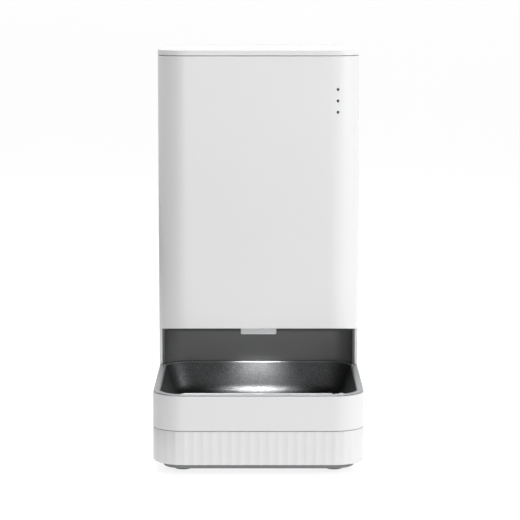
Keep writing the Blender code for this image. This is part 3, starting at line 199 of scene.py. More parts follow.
white = moulded(
    "satin_white_plastic", (0.735, 0.735, 0.74), 0.36, drift=0.006, specular_ior_level=0.4
)
inner_white = moulded("matt_white_plastic", (0.74, 0.74, 0.745), 0.5, drift=0.012)
recess_grey = moulded("matt_dark_plastic", (0.098, 0.099, 0.100), 0.5, grain=0.00003)
part_grey = moulded("satin_grey_plastic", (0.33, 0.33, 0.335), 0.42)
base_grey = moulded("matt_base_plastic", (0.17, 0.175, 0.18), 0.6, grain=0.00004)
black = moulded("black_plastic", (0.018, 0.018, 0.019), 0.45)
spout_grey = moulded("light_grey_plastic", (0.74, 0.745, 0.75), 0.28, drift=0.02)
nylon = moulded("nylon_gear_plastic", (0.78, 0.77, 0.71), 0.4, subsurface_weight=0.15)
smoke = moulded(
    "smoked_clear_plastic",
    (0.25, 0.255, 0.26),
    0.14,
    grain=0.000004,
    transmission_weight=0.75,
    ior=1.49,
)
lens = moulded("smoked_lens", (0.045, 0.045, 0.048), 0.16, coat_weight=0.5)
print("the plastics are mixed")

# %% [markdown]
# ### Steel, brass and rubber
# The bowl is pressed from sheet and then blasted with fine beads, so it has no brushed direction:
# it glitters where a lamp is mirrored. Its flange keeps the pale colour of bare steel. Inside the
# bowl the colour is painted dark instead: painted shade and a painted reflection of the dark recess
# over it. One height parts the two. Turned and drawn metal keeps the fine lines of the tool, which
# a noise stretched along one axis imitates.

# %% Metals and rubber


def beaded(name, inside, edge, roughness, painted_shade_top_z):
    """Blasted steel, bare on the flange above a given height. Below it, inside the bowl, the colour
    is painted dark: painted shade and a painted reflection of the dark recess.
    """
    look = Finish(name, metallic=1.0)
    grit = look.noise(1150, 2)
    spark = look.ramp(grit, 0.42, 0.62)
    height_here = look.node("ShaderNodeSeparateXYZ", sockets={"Vector": look.place()}, output="Z")
    # Painted shade: below the given height the grains take a dark steel colour that stands in for
    # the shade and the mirrored dark recess; above it the flange keeps its own pale colour.
    grains = look.mix(spark, tint(inside, 0.75), tint(inside, 1.3))
    sockets = {0: height_here > painted_shade_top_z, 6: grains, 7: (*edge, 1)}
    look.feed("Base Color", look.node("ShaderNodeMix", {"data_type": "RGBA"}, sockets, output=2))
    look.feed("Roughness", spark * -0.1 + look.noise(30, 2) * 0.06 + roughness)
    look.relief(grit + look.noise(2300, 1) * 0.5, 0.0003, 0.45)
    return look


def drawn(name, colour, roughness, stretch):
    look = Finish(name, metallic=1.0)
    lines = look.noise(60, 3, stretch)
    look.feed("Base Color", look.mix(lines, tint(colour, 0.85), tint(colour, 1.1)))
    look.feed("Roughness", lines * 0.2 + (roughness - 0.1))
    look.relief(lines, 0.00003, 0.4)
    return look


def rubbery(name, colour, roughness):
    look = Finish(name, specular_ior_level=0.3)
    dust = look.noise(220, 4)
    look.feed("Base Color", look.mix(look.ramp(dust, 0.35, 0.75), colour, tint(colour, 1.35)))
    look.feed("Roughness", dust * 0.15 + (roughness - 0.05))
    look.relief(look.noise(900, 2), 0.00006, 0.6)
    return look


# Below this pale band the bowl's colour is painted dark, as painted shade and a painted reflection
# of the dark recess.
PALE_EDGE = 0.9 * MM  # how far down from the bowl's top the steel is pale
flange_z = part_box("food_bowl")[1].z
bowl_steel = beaded(
    "bead_blasted_steel",
    # The inside colour is painted shade: dark steel standing in for the shade and the mirrored dark
    # recess.
    inside=(0.11, 0.112, 0.115),
    edge=(0.46, 0.47, 0.48),
    roughness=0.48,
    painted_shade_top_z=flange_z - PALE_EDGE,
)
bright_steel = drawn("drawn_steel", (0.66, 0.66, 0.67), 0.3, (1, 1, 14))
brass = drawn("turned_brass", (0.72, 0.53, 0.25), 0.32, (1, 1, 14))
foot_rubber = rubbery("foot_rubber", (0.06, 0.06, 0.062), 0.75)
silicone = rubbery("grey_silicone", (0.50, 0.50, 0.49), 0.55)
print("the metals and rubbers are mixed")

# %% [markdown]
# ### Circuit board and desiccant paper
# A board is green lacquer over copper tracks, which show as slightly lighter lines with rows of
# solder pads. The desiccant bag is felted paper, whose fibres run every way. Both patterns stay in
# the colour, gloss and relief, because nothing this thin changes the outline.

# %% Board and paper


def circuit(name):
    look = Finish(name, coat_weight=0.4)
    track = {"Vector": look.place(), "Scale": 330.0, "Randomness": 0.0}
    cells = look.node("ShaderNodeTexVoronoi", {"feature": "F1"}, track, output="Distance")
    pads = 1 - (cells > 0.16)
    brick = {"Vector": look.place(), "Scale": 160.0, "Mortar Size": 0.06}
    tracks = look.node("ShaderNodeTexBrick", sockets=brick, output="Fac")
    patch = look.ramp(look.noise(45, 1), 0.5, 0.54)
    copper = pads * patch
    green = look.mix(tracks * 0.8, (0.008, 0.10, 0.035), (0.02, 0.19, 0.07))
    sockets = {0: copper, 6: green, 7: (0.7, 0.7, 0.66, 1)}
    solder = look.node("ShaderNodeMix", {"data_type": "RGBA"}, sockets, output=2)
    look.feed("Base Color", solder)
    look.feed("Metallic", copper * 0.9)
    look.feed("Roughness", copper * -0.15 + 0.45)
    look.relief(tracks + copper, 0.00004, 0.6)
    return look


def felted(name, colour):
    look = Finish(name)
    fibres = look.noise(700, 6, (1, 1, 3))
    look.feed("Base Color", look.mix(fibres, tint(colour, 0.8), tint(colour, 1.1)))
    look.feed("Roughness", fibres * 0.1 + 0.85)
    look.relief(fibres, 0.0002, 0.7)
    return look


board_green = circuit("circuit_board")
paper = felted("desiccant_paper", (0.76, 0.74, 0.68))
print("board and paper are ready")

# %% [markdown]
# ## Tools of the workshop
# Nearly every casing here is a rounded rectangle seen from above, so one plan object describes it.
# It could be a cube with a bevel modifier, but then each wall, floor and lip would need its own
# cube. A ring of vertices that is extruded from height to height keeps one column of vertices per
# spot on the outline, so walls, lips and fillets come out in one clean sweep.

# %% Plans
CORNER_STEPS = 22
SUPPORT = 1.2 * MM  # flat surfaces keep a loop this close to a curve, so that they shade flat
LEAST_RADIUS = 0.4 * MM


class Plan:
    """A rounded rectangle seen from above, the same on both sides of X = 0."""

    def __init__(self, half, front, back, front_radius, back_radius=None):
        self.half = half
        self.front = front
        self.back = back
        self.front_radius = front_radius
        self.back_radius = front_radius if back_radius is None else back_radius

    def inset(self, by, shrink=1.0):
        """The plan with its sides moved in. Its corner radii lose a share of the same amount."""
        radii = [max(r - by * shrink, LEAST_RADIUS) for r in (self.front_radius, self.back_radius)]
        return Plan(self.half - by, self.front + by, self.back - by, *radii)

    def outline(self, steps=CORNER_STEPS):
        """Points anticlockwise from the right side: four arcs, each between two support points."""
        points = []
        for side, end, radius, start in (
            (1, 1, self.back_radius, 0),
            (-1, 1, self.back_radius, 90),
            (-1, -1, self.front_radius, 180),
            (1, -1, self.front_radius, 270),
        ):
            y = self.back - radius if end > 0 else self.front + radius
            centre = Vector((side * (self.half - radius), y))
            turns = [math.radians(start + 90 * i / steps) for i in range(steps + 1)]
            spokes = [Vector((math.cos(turn), math.sin(turn))) for turn in turns]
            arc = [centre + radius * spoke for spoke in spokes]
            before = arc[0] - SUPPORT * Vector((-spokes[0].y, spokes[0].x))
            after = arc[-1] + SUPPORT * Vector((-spokes[-1].y, spokes[-1].x))
            points += [before, *arc, after]
        return points


def plan_of(node, front_radius, back_radius=None):
    low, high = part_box(node)
    return Plan(high.x, low.y, high.y, front_radius, back_radius)


def rounded(corners, steps=5, closed=False):
    """A profile with its corners rounded. Each corner is (across, height, radius)."""
    path = []
    count = len(corners)
    for i, (across, height, radius) in enumerate(corners):
        point = Vector((across, height))
        if not radius or (not closed and i in (0, count - 1)):
            path.append(point)
            continue
        back = Vector(corners[i - 1][:2]) - point
        ahead = Vector(corners[(i + 1) % count][:2]) - point
        half_angle = back.angle(ahead) / 2
        reach = radius / math.tan(half_angle)
        start, end = back.normalized() * reach, ahead.normalized() * reach
        centre = (start + end).normalized() * radius / math.sin(half_angle)
        first, last = (start - centre).normalized(), (end - centre).normalized()
        arc = [point + centre + first.slerp(last, k / steps) * radius for k in range(steps + 1)]
        if back.length > reach + 4 * SUPPORT:
            arc.insert(0, arc[0] + back.normalized() * SUPPORT)
        if ahead.length > reach + 4 * SUPPORT:
            arc.append(arc[-1] + ahead.normalized() * SUPPORT)
        path += arc
    return path


print("the tower's corners have", CORNER_STEPS, "steps")

# %% [markdown]
# A sweep extrudes its ring of vertices once for each line of the profile. An integer layer
# remembers which column a vertex belongs to, and extruding copies it, so nothing can twist.

# %% Sweeps and turned pieces
SHARP = math.radians(32)


def as_object(name, bm):
    """Closes a bmesh off as an object at the origin, smooth apart from its real edges."""
    bmesh.ops.recalc_face_normals(bm, faces=bm.faces)
    mesh = bpy.data.meshes.new(name)
    bm.to_mesh(mesh)
    bm.free()
    mesh.shade_smooth()
    mesh.set_sharp_from_angle(angle=SHARP)
    made = bpy.data.objects.new(name, mesh)
    bpy.context.scene.collection.objects.link(made)
    return made


def sweep(name, rings, closed=False):
    """A solid through rings of (outline, height). If closed, the last ring meets the first."""
    bm = bmesh.new()
    column = bm.verts.layers.int.new("column")
    count = len(rings[0][0])
    verts = bmesh.ops.create_circle(bm, segments=count, radius=1)["verts"]
    for i, vert in enumerate(verts):
        vert[column] = i

    def settle(verts, outline, height):
        for vert in verts:
            x, y = outline[vert[column]]
            vert.co = (x, y, height(y) if callable(height) else height)

    settle(verts, *rings[0])
    loop = list(bm.edges)
    if not closed:
        bmesh.ops.contextual_create(bm, geom=loop)
    for ring in rings[1:]:
        grown = bmesh.ops.extrude_edge_only(bm, edges=loop)["geom"]
        verts = {item for item in grown if isinstance(item, bmesh.types.BMVert)}
        loop = [e for e in grown if isinstance(e, bmesh.types.BMEdge) and verts.issuperset(e.verts)]
        settle(verts, *ring)
    if closed:
        bmesh.ops.remove_doubles(bm, verts=bm.verts, dist=0.01 * MM)
    else:
        bmesh.ops.contextual_create(bm, geom=loop)
    return as_object(name, bm)


def rings_of(plan, path, shrink=1.0):
    """The rings of one plan along a path of (inset, height)."""
    return [(plan.inset(across, shrink).outline(), height) for across, height in path]


def turned(name, path, centre=(0, 0, 0), axis=(0, 0, 1), steps=40):
    """A piece turned from a path of (radius, height along the axis)."""
    bm = bmesh.new()
    verts = [bm.verts.new((radius, 0, height)) for radius, height in path]
    edges = [bm.edges.new(pair) for pair in zip(verts, verts[1:])]
    bmesh.ops.spin(
        bm,
        geom=verts + edges,
        cent=(0, 0, 0),
        axis=(0, 0, 1),
        dvec=(0, 0, 0),
        angle=math.tau,
        steps=steps,
        use_merge=True,
        use_duplicate=False,
    )
    bmesh.ops.remove_doubles(bm, verts=bm.verts, dist=0.01 * MM)
    turn = Vector(axis).to_track_quat("Z", "Y").to_matrix().to_4x4()
    bm.transform(Matrix.Translation(centre) @ turn)
    return as_object(name, bm)


print("sweeps and turning are ready")

# %% [markdown]
# Cuts and joins are Boolean modifiers that are applied at once, as a workshop would drill a part
# and sweep the bench. Flat prisms and boxes are the usual tools.

# %% Cuts, joins and straight pieces


def apply_modifiers(piece):
    bpy.context.view_layer.update()
    graph = bpy.context.evaluated_depsgraph_get()
    mesh = bpy.data.meshes.new_from_object(piece.evaluated_get(graph))
    piece.modifiers.clear()
    piece.data = mesh
    mesh.shade_smooth()
    mesh.set_sharp_from_angle(angle=SHARP)
    return piece


def combine(piece, operation, tools):
    for tool in tools:
        modifier = piece.modifiers.new(tool.name, "BOOLEAN")
        modifier.operation = operation
        modifier.object = tool
    apply_modifiers(piece)
    for tool in tools:
        bpy.data.objects.remove(tool)
    return piece


def cut(piece, *tools):
    return combine(piece, "DIFFERENCE", tools)


def join(piece, *others):
    return combine(piece, "UNION", others)


def soften(piece, width, angle=50):
    """Rounds off the piece's sharp edges, as every moulded or stamped edge is."""
    bm = bmesh.new()
    bm.from_mesh(piece.data)
    least = math.radians(angle)
    sharp = [e for e in bm.edges if len(e.link_faces) == 2 and e.calc_face_angle(0) > least]
    bmesh.ops.bevel(
        bm,
        geom=sharp,
        offset=width,
        offset_type="OFFSET",
        affect="EDGES",
        segments=3,
        profile=0.5,
        material=-1,
        clamp_overlap=True,
    )
    bm.to_mesh(piece.data)
    bm.free()
    piece.data.shade_smooth()
    piece.data.set_sharp_from_angle(angle=SHARP)
    return piece


def box(name, low, high):
    bm = bmesh.new()
    bmesh.ops.create_cube(bm, size=1)
    low, high = Vector(low), Vector(high)
    bmesh.ops.scale(bm, vec=high - low, verts=bm.verts)
    bmesh.ops.translate(bm, vec=(low + high) / 2, verts=bm.verts)
    return as_object(name, bm)


def prism(name, outline, start, end, axes=("x", "y", "z")):
    """An outline extruded from start to end. The axes name where its three directions go."""
    bm = bmesh.new()
    face = bm.faces.new([bm.verts.new((a, b, start)) for a, b in outline])
    grown = bmesh.ops.extrude_face_region(bm, geom=[face])["geom"]
    top = [item for item in grown if isinstance(item, bmesh.types.BMVert)]
    bmesh.ops.translate(bm, vec=(0, 0, end - start), verts=top)
    order = ["xyz".index(axis) for axis in axes]
    for vert in bm.verts:
        spot = list(vert.co)
        for value, place in zip(spot, order):
            vert.co[place] = value
    return as_object(name, bm)


def rod(name, start, end, radius, steps=24):
    start, end = Vector(start), Vector(end)
    path = [(0, 0), (radius, 0), (radius, (end - start).length), (0, (end - start).length)]
    return turned(name, path, start, end - start, steps)


def cut_flat(piece, point, normal):
    """Takes away what lies on the normal's side of a plane, and closes the cut."""
    bm = bmesh.new()
    bm.from_mesh(piece.data)
    every = bm.verts[:] + bm.edges[:] + bm.faces[:]
    bmesh.ops.bisect_plane(bm, geom=every, plane_co=point, plane_no=normal, clear_outer=True)
    rim = [edge for edge in bm.edges if edge.is_boundary]
    bmesh.ops.holes_fill(bm, edges=rim)
    bmesh.ops.recalc_face_normals(bm, faces=bm.faces)
    bm.to_mesh(piece.data)
    bm.free()
    piece.data.set_sharp_from_angle(angle=SHARP)
    return piece


bodies = frame["record"]["behaviour"]["bodies"]
BODY_OF = {node: body for body, nodes in bodies.items() for node in nodes}
SLOT_OF = {part["node"]: part["material_slot"] for part in frame["record"]["subparts"]}
replaced = set()


def install(piece, look, node):
    """Gives a piece its finish and puts it in the place of a node."""
    piece.data.materials.clear()
    piece.data.materials.append(look.material)
    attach(piece, BODY_OF[node])
    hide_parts(node)
    replaced.add(node)
    print(f"{piece.name}: {len(piece.data.polygons)} faces in place of {node}")


print("the workshop is ready")

# %% [markdown]
# ## The base
# The base is an injection-moulded skirt whose whole side is fluted, and a mould cuts such concave
# flutes with a round-nosed tool. Displacing a plain wall would wander off the corners, so the
# outline itself carries the flutes: it walks once round the rounded rectangle and dips in by a
# half-sine for each flute. The skirt then sweeps down, round its foot and back up inside.

# %% Places in the frame
TOWER_CORNER = 27 * MM
LID_SEAM = 0.5 * MM
RECESS_HEIGHT = 39.2 * MM
LEDGE_DEPTH = 29 * MM
tower = plan_of("outer_shell", TOWER_CORNER)
base = Plan(tower.half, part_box("base_skirt")[0].y, tower.back, TOWER_CORNER)
deck_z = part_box("base_skirt")[1].z
skirt_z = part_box("base_skirt")[0].z
tray_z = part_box("bowl_tray")[0].z
rim_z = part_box("bowl_tray")[1].z
shell_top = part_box("outer_shell")[1].z
lid_z = shell_top + LID_SEAM
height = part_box("rear_cap")[1].z
cut_front_z = rim_z + RECESS_HEIGHT
CUT_SLOPE = 0.167
LEDGE_Y = tower.front + LEDGE_DEPTH
WALL = 2.6 * MM


def cut_height(y, above=0.0):
    """The sloping plane that ends the tower over the bowl, or one that lies above it."""
    return cut_front_z - (y - tower.front) * CUT_SLOPE + above


def cut_plane(above):
    return lambda y: cut_height(y, above)


print(f"tower front at {tower.front / MM:.0f} mm, lower edge at {cut_front_z / MM:.1f} mm")

# %% Fluted skirt
FLUTES = 117
FLUTE_POINTS = 8
FLUTE_DEPTH = 0.3 * MM


def walk(outline, count):
    """Points at even spacing round an outline, with the outward direction at each."""
    corners = [Vector(point) for point in outline]
    ahead = corners[1:] + corners[:1]
    lengths = [(b - a).length for a, b in zip(corners, ahead)]
    total = sum(lengths)
    side, walked, found = 0, 0.0, []
    for i in range(count):
        along = total * i / count
        while along > walked + lengths[side]:
            walked += lengths[side]
            side += 1
        a, b = corners[side], ahead[side]
        run = (b - a).normalized()
        found.append((a.lerp(b, (along - walked) / lengths[side]), Vector((run.y, -run.x))))
    return found


def fluted(plan, depth, share=1.0):
    spots = walk(plan.outline(60), FLUTES * FLUTE_POINTS)
    outline = []
    for i, (point, outward) in enumerate(spots):
        dip = math.sin(math.pi * (i % FLUTE_POINTS) / FLUTE_POINTS)
        outline.append(point - outward * (depth * dip * share))
    return outline


def even(plan):
    return [point for point, _ in walk(plan.outline(60), FLUTES * FLUTE_POINTS)]


def make_base():
    lip = 2.2 * MM
    opening = base.inset(8.2 * MM)
    inside = base.inset(WALL)
    rings = [
        (even(inside), deck_z),
        (fluted(base.inset(0.5 * MM), FLUTE_DEPTH, 0.9), deck_z),
        (fluted(base.inset(0.15 * MM), FLUTE_DEPTH), deck_z - 0.15 * MM),
        (fluted(base, FLUTE_DEPTH), deck_z - 0.5 * MM),
        (fluted(base, FLUTE_DEPTH), skirt_z + 0.8 * MM),
        (fluted(base.inset(0.25 * MM), FLUTE_DEPTH), skirt_z + 0.25 * MM),
        (fluted(base.inset(0.8 * MM), FLUTE_DEPTH), skirt_z),
        (even(opening), skirt_z),
        (even(opening), skirt_z + lip),
        (even(inside), skirt_z + lip),
        (even(inside), deck_z),
    ]
    return sweep("Base_fluted_skirt", rings, closed=True)


install(make_base(), white, "base_skirt")

# %% [markdown]
# Under the skirt sits a grey pan with a rounded lower edge and four sunk screw pockets. The feet
# are stamped rubber discs stuck into it, with a domed edge and a dimple in the sole.

# %% Underside and feet
SCREW_HOLE = 3.1 * MM
SCREW_X = 66 * MM
SCREW_Y = 101 * MM
SCREW_POCKET = 4.7 * MM
SCREW_SEAT = 0.3 * MM
BOSS_TOP = 6.8 * MM


def make_underside():
    low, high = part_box("bottom_plate")
    foot = base.inset(8.5 * MM)
    path = rounded(
        [
            (60 * MM, low.z, 0),
            (0, low.z, 1.2 * MM),
            (0, skirt_z + 2.5 * MM, 0.3 * MM),
            (-5.6 * MM, skirt_z + 2.5 * MM, 0.4 * MM),
            (-5.6 * MM, high.z, 0.4 * MM),
            (2 * MM, high.z, 0.5 * MM),
            (2 * MM, low.z + 2.4 * MM, 1 * MM),
            (60 * MM, low.z + 2.4 * MM, 0),
        ],
        4,
    )
    plate = sweep("Base_underside", rings_of(foot, path))
    tools = []
    seat_z = low.z + SCREW_POCKET - SCREW_SEAT
    for x in (-SCREW_X, SCREW_X):
        for y in (-SCREW_Y, SCREW_Y):
            boss = rod("Boss", (x, y, low.z + 1 * MM), (x, y, low.z + BOSS_TOP), 4.5 * MM)
            join(plate, boss)
            tools.append(rod("Pocket", (x, y, low.z - 1 * MM), (x, y, seat_z), SCREW_HOLE))
            tools.append(rod("Shank_hole", (x, y, low.z), (x, y, low.z + 8 * MM), 1.8 * MM))
    return cut(plate, *tools)


def make_foot(node):
    low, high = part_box(node)
    centre = ((low.x + high.x) / 2, (low.y + high.y) / 2, low.z)
    radius, tall = (high.x - low.x) / 2, high.z - low.z
    corners = [
        (0, 0.5 * MM, 0),
        (radius * 0.55, 0.5 * MM, 0.6 * MM),
        (radius * 0.65, 0, 0.4 * MM),
        (radius, 0, 0.9 * MM),
        (radius, tall, 0.3 * MM),
        (0, tall, 0),
    ]
    return turned("Rubber_" + node, rounded(corners), centre)


install(make_underside(), base_grey, "bottom_plate")
for corner in ("front_left", "front_right", "rear_left", "rear_right"):
    install(make_foot("foot_" + corner), foot_rubber, "foot_" + corner)

# %% [markdown]
# ## The bowl and its ring
# The ring is a plain moulded frame with a floor, open at the back where the tower's lining begins.
# The bowl is one pressed sheet, so it is modelled as one sheet and given its 0.8 mm by a Solidify
# modifier. Its walls lean in and its corners tighten towards the floor, as a drawing press leaves
# them. The flange is wide over the ring and steps in where it slides between the recess's sides.

# %% Ring round the bowl
RING_EDGE = 0.5 * MM


def make_ring():
    low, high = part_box("bowl_tray")
    plan = Plan(tower.half, base.front, high.y + 30 * MM, TOWER_CORNER, 2 * MM)
    path = rounded(
        [
            (70 * MM, low.z, 0),
            (0, low.z, RING_EDGE),
            (0, high.z, RING_EDGE),
            (WALL, high.z, RING_EDGE),
            (WALL, low.z + 2 * MM, 1.2 * MM),
            (70 * MM, low.z + 2 * MM, 0),
        ],
        3,
    )
    ring = sweep("Bowl_ring", rings_of(plan, path))
    return cut_flat(ring, (0, high.y, 0), (0, 1, 0))


install(make_ring(), white, "bowl_tray")

# %% Pressed bowl
THICK = 0.8 * MM
NARROW_HALF = 87 * MM
OPENING_HALF = 86 * MM
OPENING_FRONT = -151 * MM
OPENING_BACK = 9.6 * MM
bowl_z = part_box("food_bowl")[0].z


def bowl_rings():
    """Rings of the upper face, from the flange's edge to the middle of the floor."""
    low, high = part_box("food_bowl")
    wide = Plan(high.x, low.y, high.y, 26.4 * MM, 19.5 * MM)
    step_y = LEDGE_Y - 0.6 * MM
    side_gap = high.x - NARROW_HALF
    opening = Plan(OPENING_HALF, OPENING_FRONT, OPENING_BACK, 22 * MM)
    floor_z = bowl_z + THICK
    profile = rounded(
        [
            (-0.8 * MM, flange_z, 0),
            (0, flange_z, 1.3 * MM),
            (11 * MM, floor_z, 12 * MM),
            (60 * MM, floor_z, 0),
        ],
        9,
    )
    rings = []

    def stepped(plan, gap):
        """The plan with its back part narrowed by a gap behind step_y."""
        points = plan.outline()
        half_way = len(points) // 2
        narrow = plan.half - gap
        back = [(point.x * narrow / plan.half, point.y) for point in points[:half_way]]
        behind = min(step_y, back[-1][1] - 0.3 * MM)
        ahead = behind - 0.3 * MM
        left = [(-narrow, behind), (-plan.half, ahead)]
        right = [(plan.half, ahead), (narrow, behind)]
        return back + left + points[half_way:] + right

    for inset in (0, 0.35 * MM, 2 * MM):
        drop = 0.25 * MM if inset == 0 else 0
        rings.append((stepped(wide.inset(inset), side_gap), flange_z - drop))
    for across, z in profile:
        depth = (flange_z - z) / (flange_z - floor_z)
        plan = opening.inset(across, 0.45 + 0.25 * depth)
        rings.append((stepped(plan, 0), z))
    return rings


def make_bowl():
    rings = bowl_rings()
    bowl = sweep("Steel_bowl", rings)
    bm = bmesh.new()
    bm.from_mesh(bowl.data)
    many_sided = [f for f in bm.faces if len(f.verts) > 4]
    outer = [f for f in many_sided if f.calc_center_median().z > flange_z - 1 * MM]
    bmesh.ops.delete(bm, geom=outer, context="FACES_ONLY")
    lowest = min(bm.faces, key=lambda f: f.calc_center_median().z)
    if lowest.normal.z < 0:
        bmesh.ops.reverse_faces(bm, faces=bm.faces)
    bm.to_mesh(bowl.data)
    bm.free()
    sheet = bowl.modifiers.new("Sheet", "SOLIDIFY")
    sheet.thickness = THICK
    sheet.offset = -1
    sheet.use_quality_normals = True
    return apply_modifiers(bowl)


install(make_bowl(), bowl_steel, "food_bowl")

# %% [markdown]
# ## The tower
# The shell is one tall moulding: a tube whose front is cut away over the bowl. The cut slopes down
# towards the back and runs into the side walls with a small fillet, so a prism with that profile is
# drawn across X and subtracted. The fresh edge is then broken, since a mould never leaves it sharp.

# %% Tower shell
CUT_FILLET = 4 * MM


def recess_side():
    """The cut-away seen from the side, as (Y, Z) points."""
    far, low = tower.front - 40 * MM, tray_z - 20 * MM
    corners = [
        (far, low, 0),
        (LEDGE_Y, low, 0),
        (LEDGE_Y, cut_height(LEDGE_Y), CUT_FILLET),
        (far, cut_height(far), 0),
    ]
    return rounded(corners, 10)


def make_shell():
    edge = 0.3 * MM
    path = rounded(
        [
            (0, tray_z, edge),
            (0, shell_top, edge),
            (WALL, shell_top, edge),
            (WALL, tray_z, edge),
        ],
        3,
        closed=True,
    )
    rings = rings_of(tower, path)
    shell = sweep("Tower_shell", [*rings, rings[0]], closed=True)
    cut(shell, prism("Recess_room", recess_side(), -120 * MM, 120 * MM, axes=("y", "z", "x")))
    soften(shell, 0.3 * MM)
    return shell


shell = make_shell()
print("shell faces:", len(shell.data.polygons))

# %% Holes in the shell


def lens_axis(node):
    """The middle of a lens and the way it points, out of the rounded corner."""
    low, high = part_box(node)
    middle = (low + high) / 2
    centre = Vector((tower.half - tower.front_radius, tower.front + tower.front_radius, middle.z))
    return centre, (middle - centre).normalized()


LENS_RADIUS = 1.05 * MM
LENS_LENGTH = 6 * MM
LENS_HOLE = 1.35 * MM
POST_X = 41 * MM
POST_HEIGHTS = (56 * MM, 108 * MM)
BOARD_BACK = 147.9 * MM
lens_nodes = [f"indicator_lens_{i}" for i in (1, 2, 3)]
holes = []
for node in lens_nodes:
    centre, out = lens_axis(node)
    holes.append(rod("Lens_hole", centre + out * 20 * MM, centre + out * 32 * MM, LENS_HOLE))
jack_low, jack_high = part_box("dc_jack")
jack_spot = (jack_low + jack_high) / 2
jack_radius = (jack_high.x - jack_low.x) / 2
holes.append(
    rod(
        "Jack_hole",
        (jack_spot.x, tower.back - 6 * MM, jack_spot.z),
        (jack_spot.x, tower.back + 6 * MM, jack_spot.z),
        jack_radius + 0.3 * MM,
        40,
    )
)
cut(shell, *holes)
posts = []
for x in (-POST_X, POST_X):
    for z in POST_HEIGHTS:
        start, end = (x, tower.back - 1.2 * MM, z), (x, BOARD_BACK, z)
        posts.append(rod("Board_post", start, end, 2 * MM))
join(shell, *posts)
install(shell, white, "outer_shell")


def make_lens(node):
    centre, out = lens_axis(node)
    corners = [
        (0, 0, 0),
        (LENS_RADIUS, 0, 0.2 * MM),
        (LENS_RADIUS, LENS_LENGTH, 0.4 * MM),
        (0, LENS_LENGTH, 0),
    ]
    start = centre + out * (tower.front_radius - LENS_LENGTH)
    return turned(node.title(), rounded(corners, 4), start, out, 24)


for node in lens_nodes:
    install(make_lens(node), lens, node)

# %% [markdown]
# ## The recess behind the bowl
# A dark lining closes the tower off over the bowl. It has two side cheeks, a round-cornered back
# and a sloping ceiling with a slot for the spout. Solid less room gives all of that in two sweeps.

# %% Recess lining
LINER_WALL = 1.6 * MM
CEILING_GAP = 0.3 * MM
SLOT_LENGTH = 24.4 * MM
SLOT_TOP = 140 * MM
nozzle_low, nozzle_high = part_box("outlet_nozzle")


def make_lining():
    low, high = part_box("recess_liner")
    plan = Plan(high.x, low.y, high.y, 24.1 * MM, 21.6 * MM)
    top = LINER_WALL + CEILING_GAP
    lining = sweep("Recess_lining", [(plan.outline(), low.z), (plan.outline(), cut_plane(top))])
    inner = plan.inset(LINER_WALL)
    inner.front -= 60 * MM
    side = [(0, -90 * MM), *rounded([(0, -20 * MM, 0), (0, 0, 3 * MM), (30 * MM, 0, 0)], 6)]
    rings = [
        (inner.inset(across).outline(), cut_plane(CEILING_GAP + drop)) for across, drop in side
    ]
    room = sweep("Lining_room", rings)
    beyond = tower.front - 60 * MM
    front_side = [
        (beyond, low.z - 10 * MM),
        (LEDGE_Y, low.z - 10 * MM),
        (LEDGE_Y, cut_height(LEDGE_Y, CEILING_GAP)),
        (beyond, cut_height(beyond, CEILING_GAP)),
    ]
    front = prism("Lining_front", front_side, -0.2, 0.2, axes=("y", "z", "x"))
    slot = box(
        "Spout_slot",
        (nozzle_low.x - 0.3 * MM, nozzle_low.y - 0.3 * MM, low.z),
        (nozzle_high.x + 0.3 * MM, nozzle_low.y + SLOT_LENGTH, SLOT_TOP),
    )
    return cut(lining, room, front, slot)


install(make_lining(), recess_grey, "recess_liner")


# %% [markdown]
# The spout is a short square chute that leans forward as it comes down. Its lower lip is rounded,
# and two pairs of holes go through its cheeks: one for the flap's pin and one for the light beam
# that counts the falling food.

# %% Spout
NOZZLE_WALL = 1.6 * MM
OUTLET_DEPTH = 22 * MM


def make_spout():
    half = nozzle_high.x
    low_z, top_z = nozzle_low.z, nozzle_high.z
    front, back = nozzle_low.y, nozzle_high.y
    lean = 10 * MM

    def ring(inset, z):
        share = (z - low_z) / (top_z - low_z)
        back_y = front + OUTLET_DEPTH + (back - front - OUTLET_DEPTH) * share
        plan = Plan(half, front + lean * share, back_y, 1.6 * MM)
        return plan.inset(inset).outline(6), z

    path = rounded(
        [
            (0, low_z, 0.6 * MM),
            (0, top_z, 0.3 * MM),
            (NOZZLE_WALL, top_z, 0.3 * MM),
            (NOZZLE_WALL, low_z, 0.6 * MM),
        ],
        4,
        closed=True,
    )
    rings = [ring(across, z) for across, z in path]
    spout = sweep("Food_spout", [*rings, rings[0]], closed=True)
    tools = []
    for node, radius in (("ir_emitter", 1.9 * MM), ("flap_pin", 1.0 * MM)):
        low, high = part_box(node)
        y, z = (low.y + high.y) / 2, (low.z + high.z) / 2
        tools.append(rod("Cheek_hole", (-2 * half, y, z), (2 * half, y, z), radius))
    return cut(spout, *tools)


install(make_spout(), spout_grey, "outlet_nozzle")

# %% [markdown]
# ## The lid
# The lid is a shallow moulded cap with a soft top edge. It stops short of the tower's back, where a
# fixed cover carries the button and the two hinge knuckles. A single hinge line runs between them.

# %% Lid and rear cover
LID_WALL = 2.4 * MM
LID_TOP = 2.2 * MM
lid_low, lid_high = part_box("lid")
pin_low, pin_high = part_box("hinge_pin_right")
hinge = Vector((0, (pin_low.y + pin_high.y) / 2, (pin_low.z + pin_high.z) / 2))
LID_BACK = hinge.y - 3 * MM
CAP_FRONT = hinge.y + 3.6 * MM
KNUCKLE = 2.4 * MM
KNUCKLE_HALF = 70 * MM
COVER_KNUCKLE = (70.6 * MM, 81.6 * MM)
PIN_ENDS = (61.0 * MM, 79.6 * MM)


def knuckle(start, end):
    return rod("Knuckle", (start, hinge.y, hinge.z), (end, hinge.y, hinge.z), KNUCKLE, 40)


def pin_bore(side):
    ends = [(side * x, hinge.y, hinge.z) for x in PIN_ENDS]
    return rod("Pin_bore", *ends, 1.3 * MM)


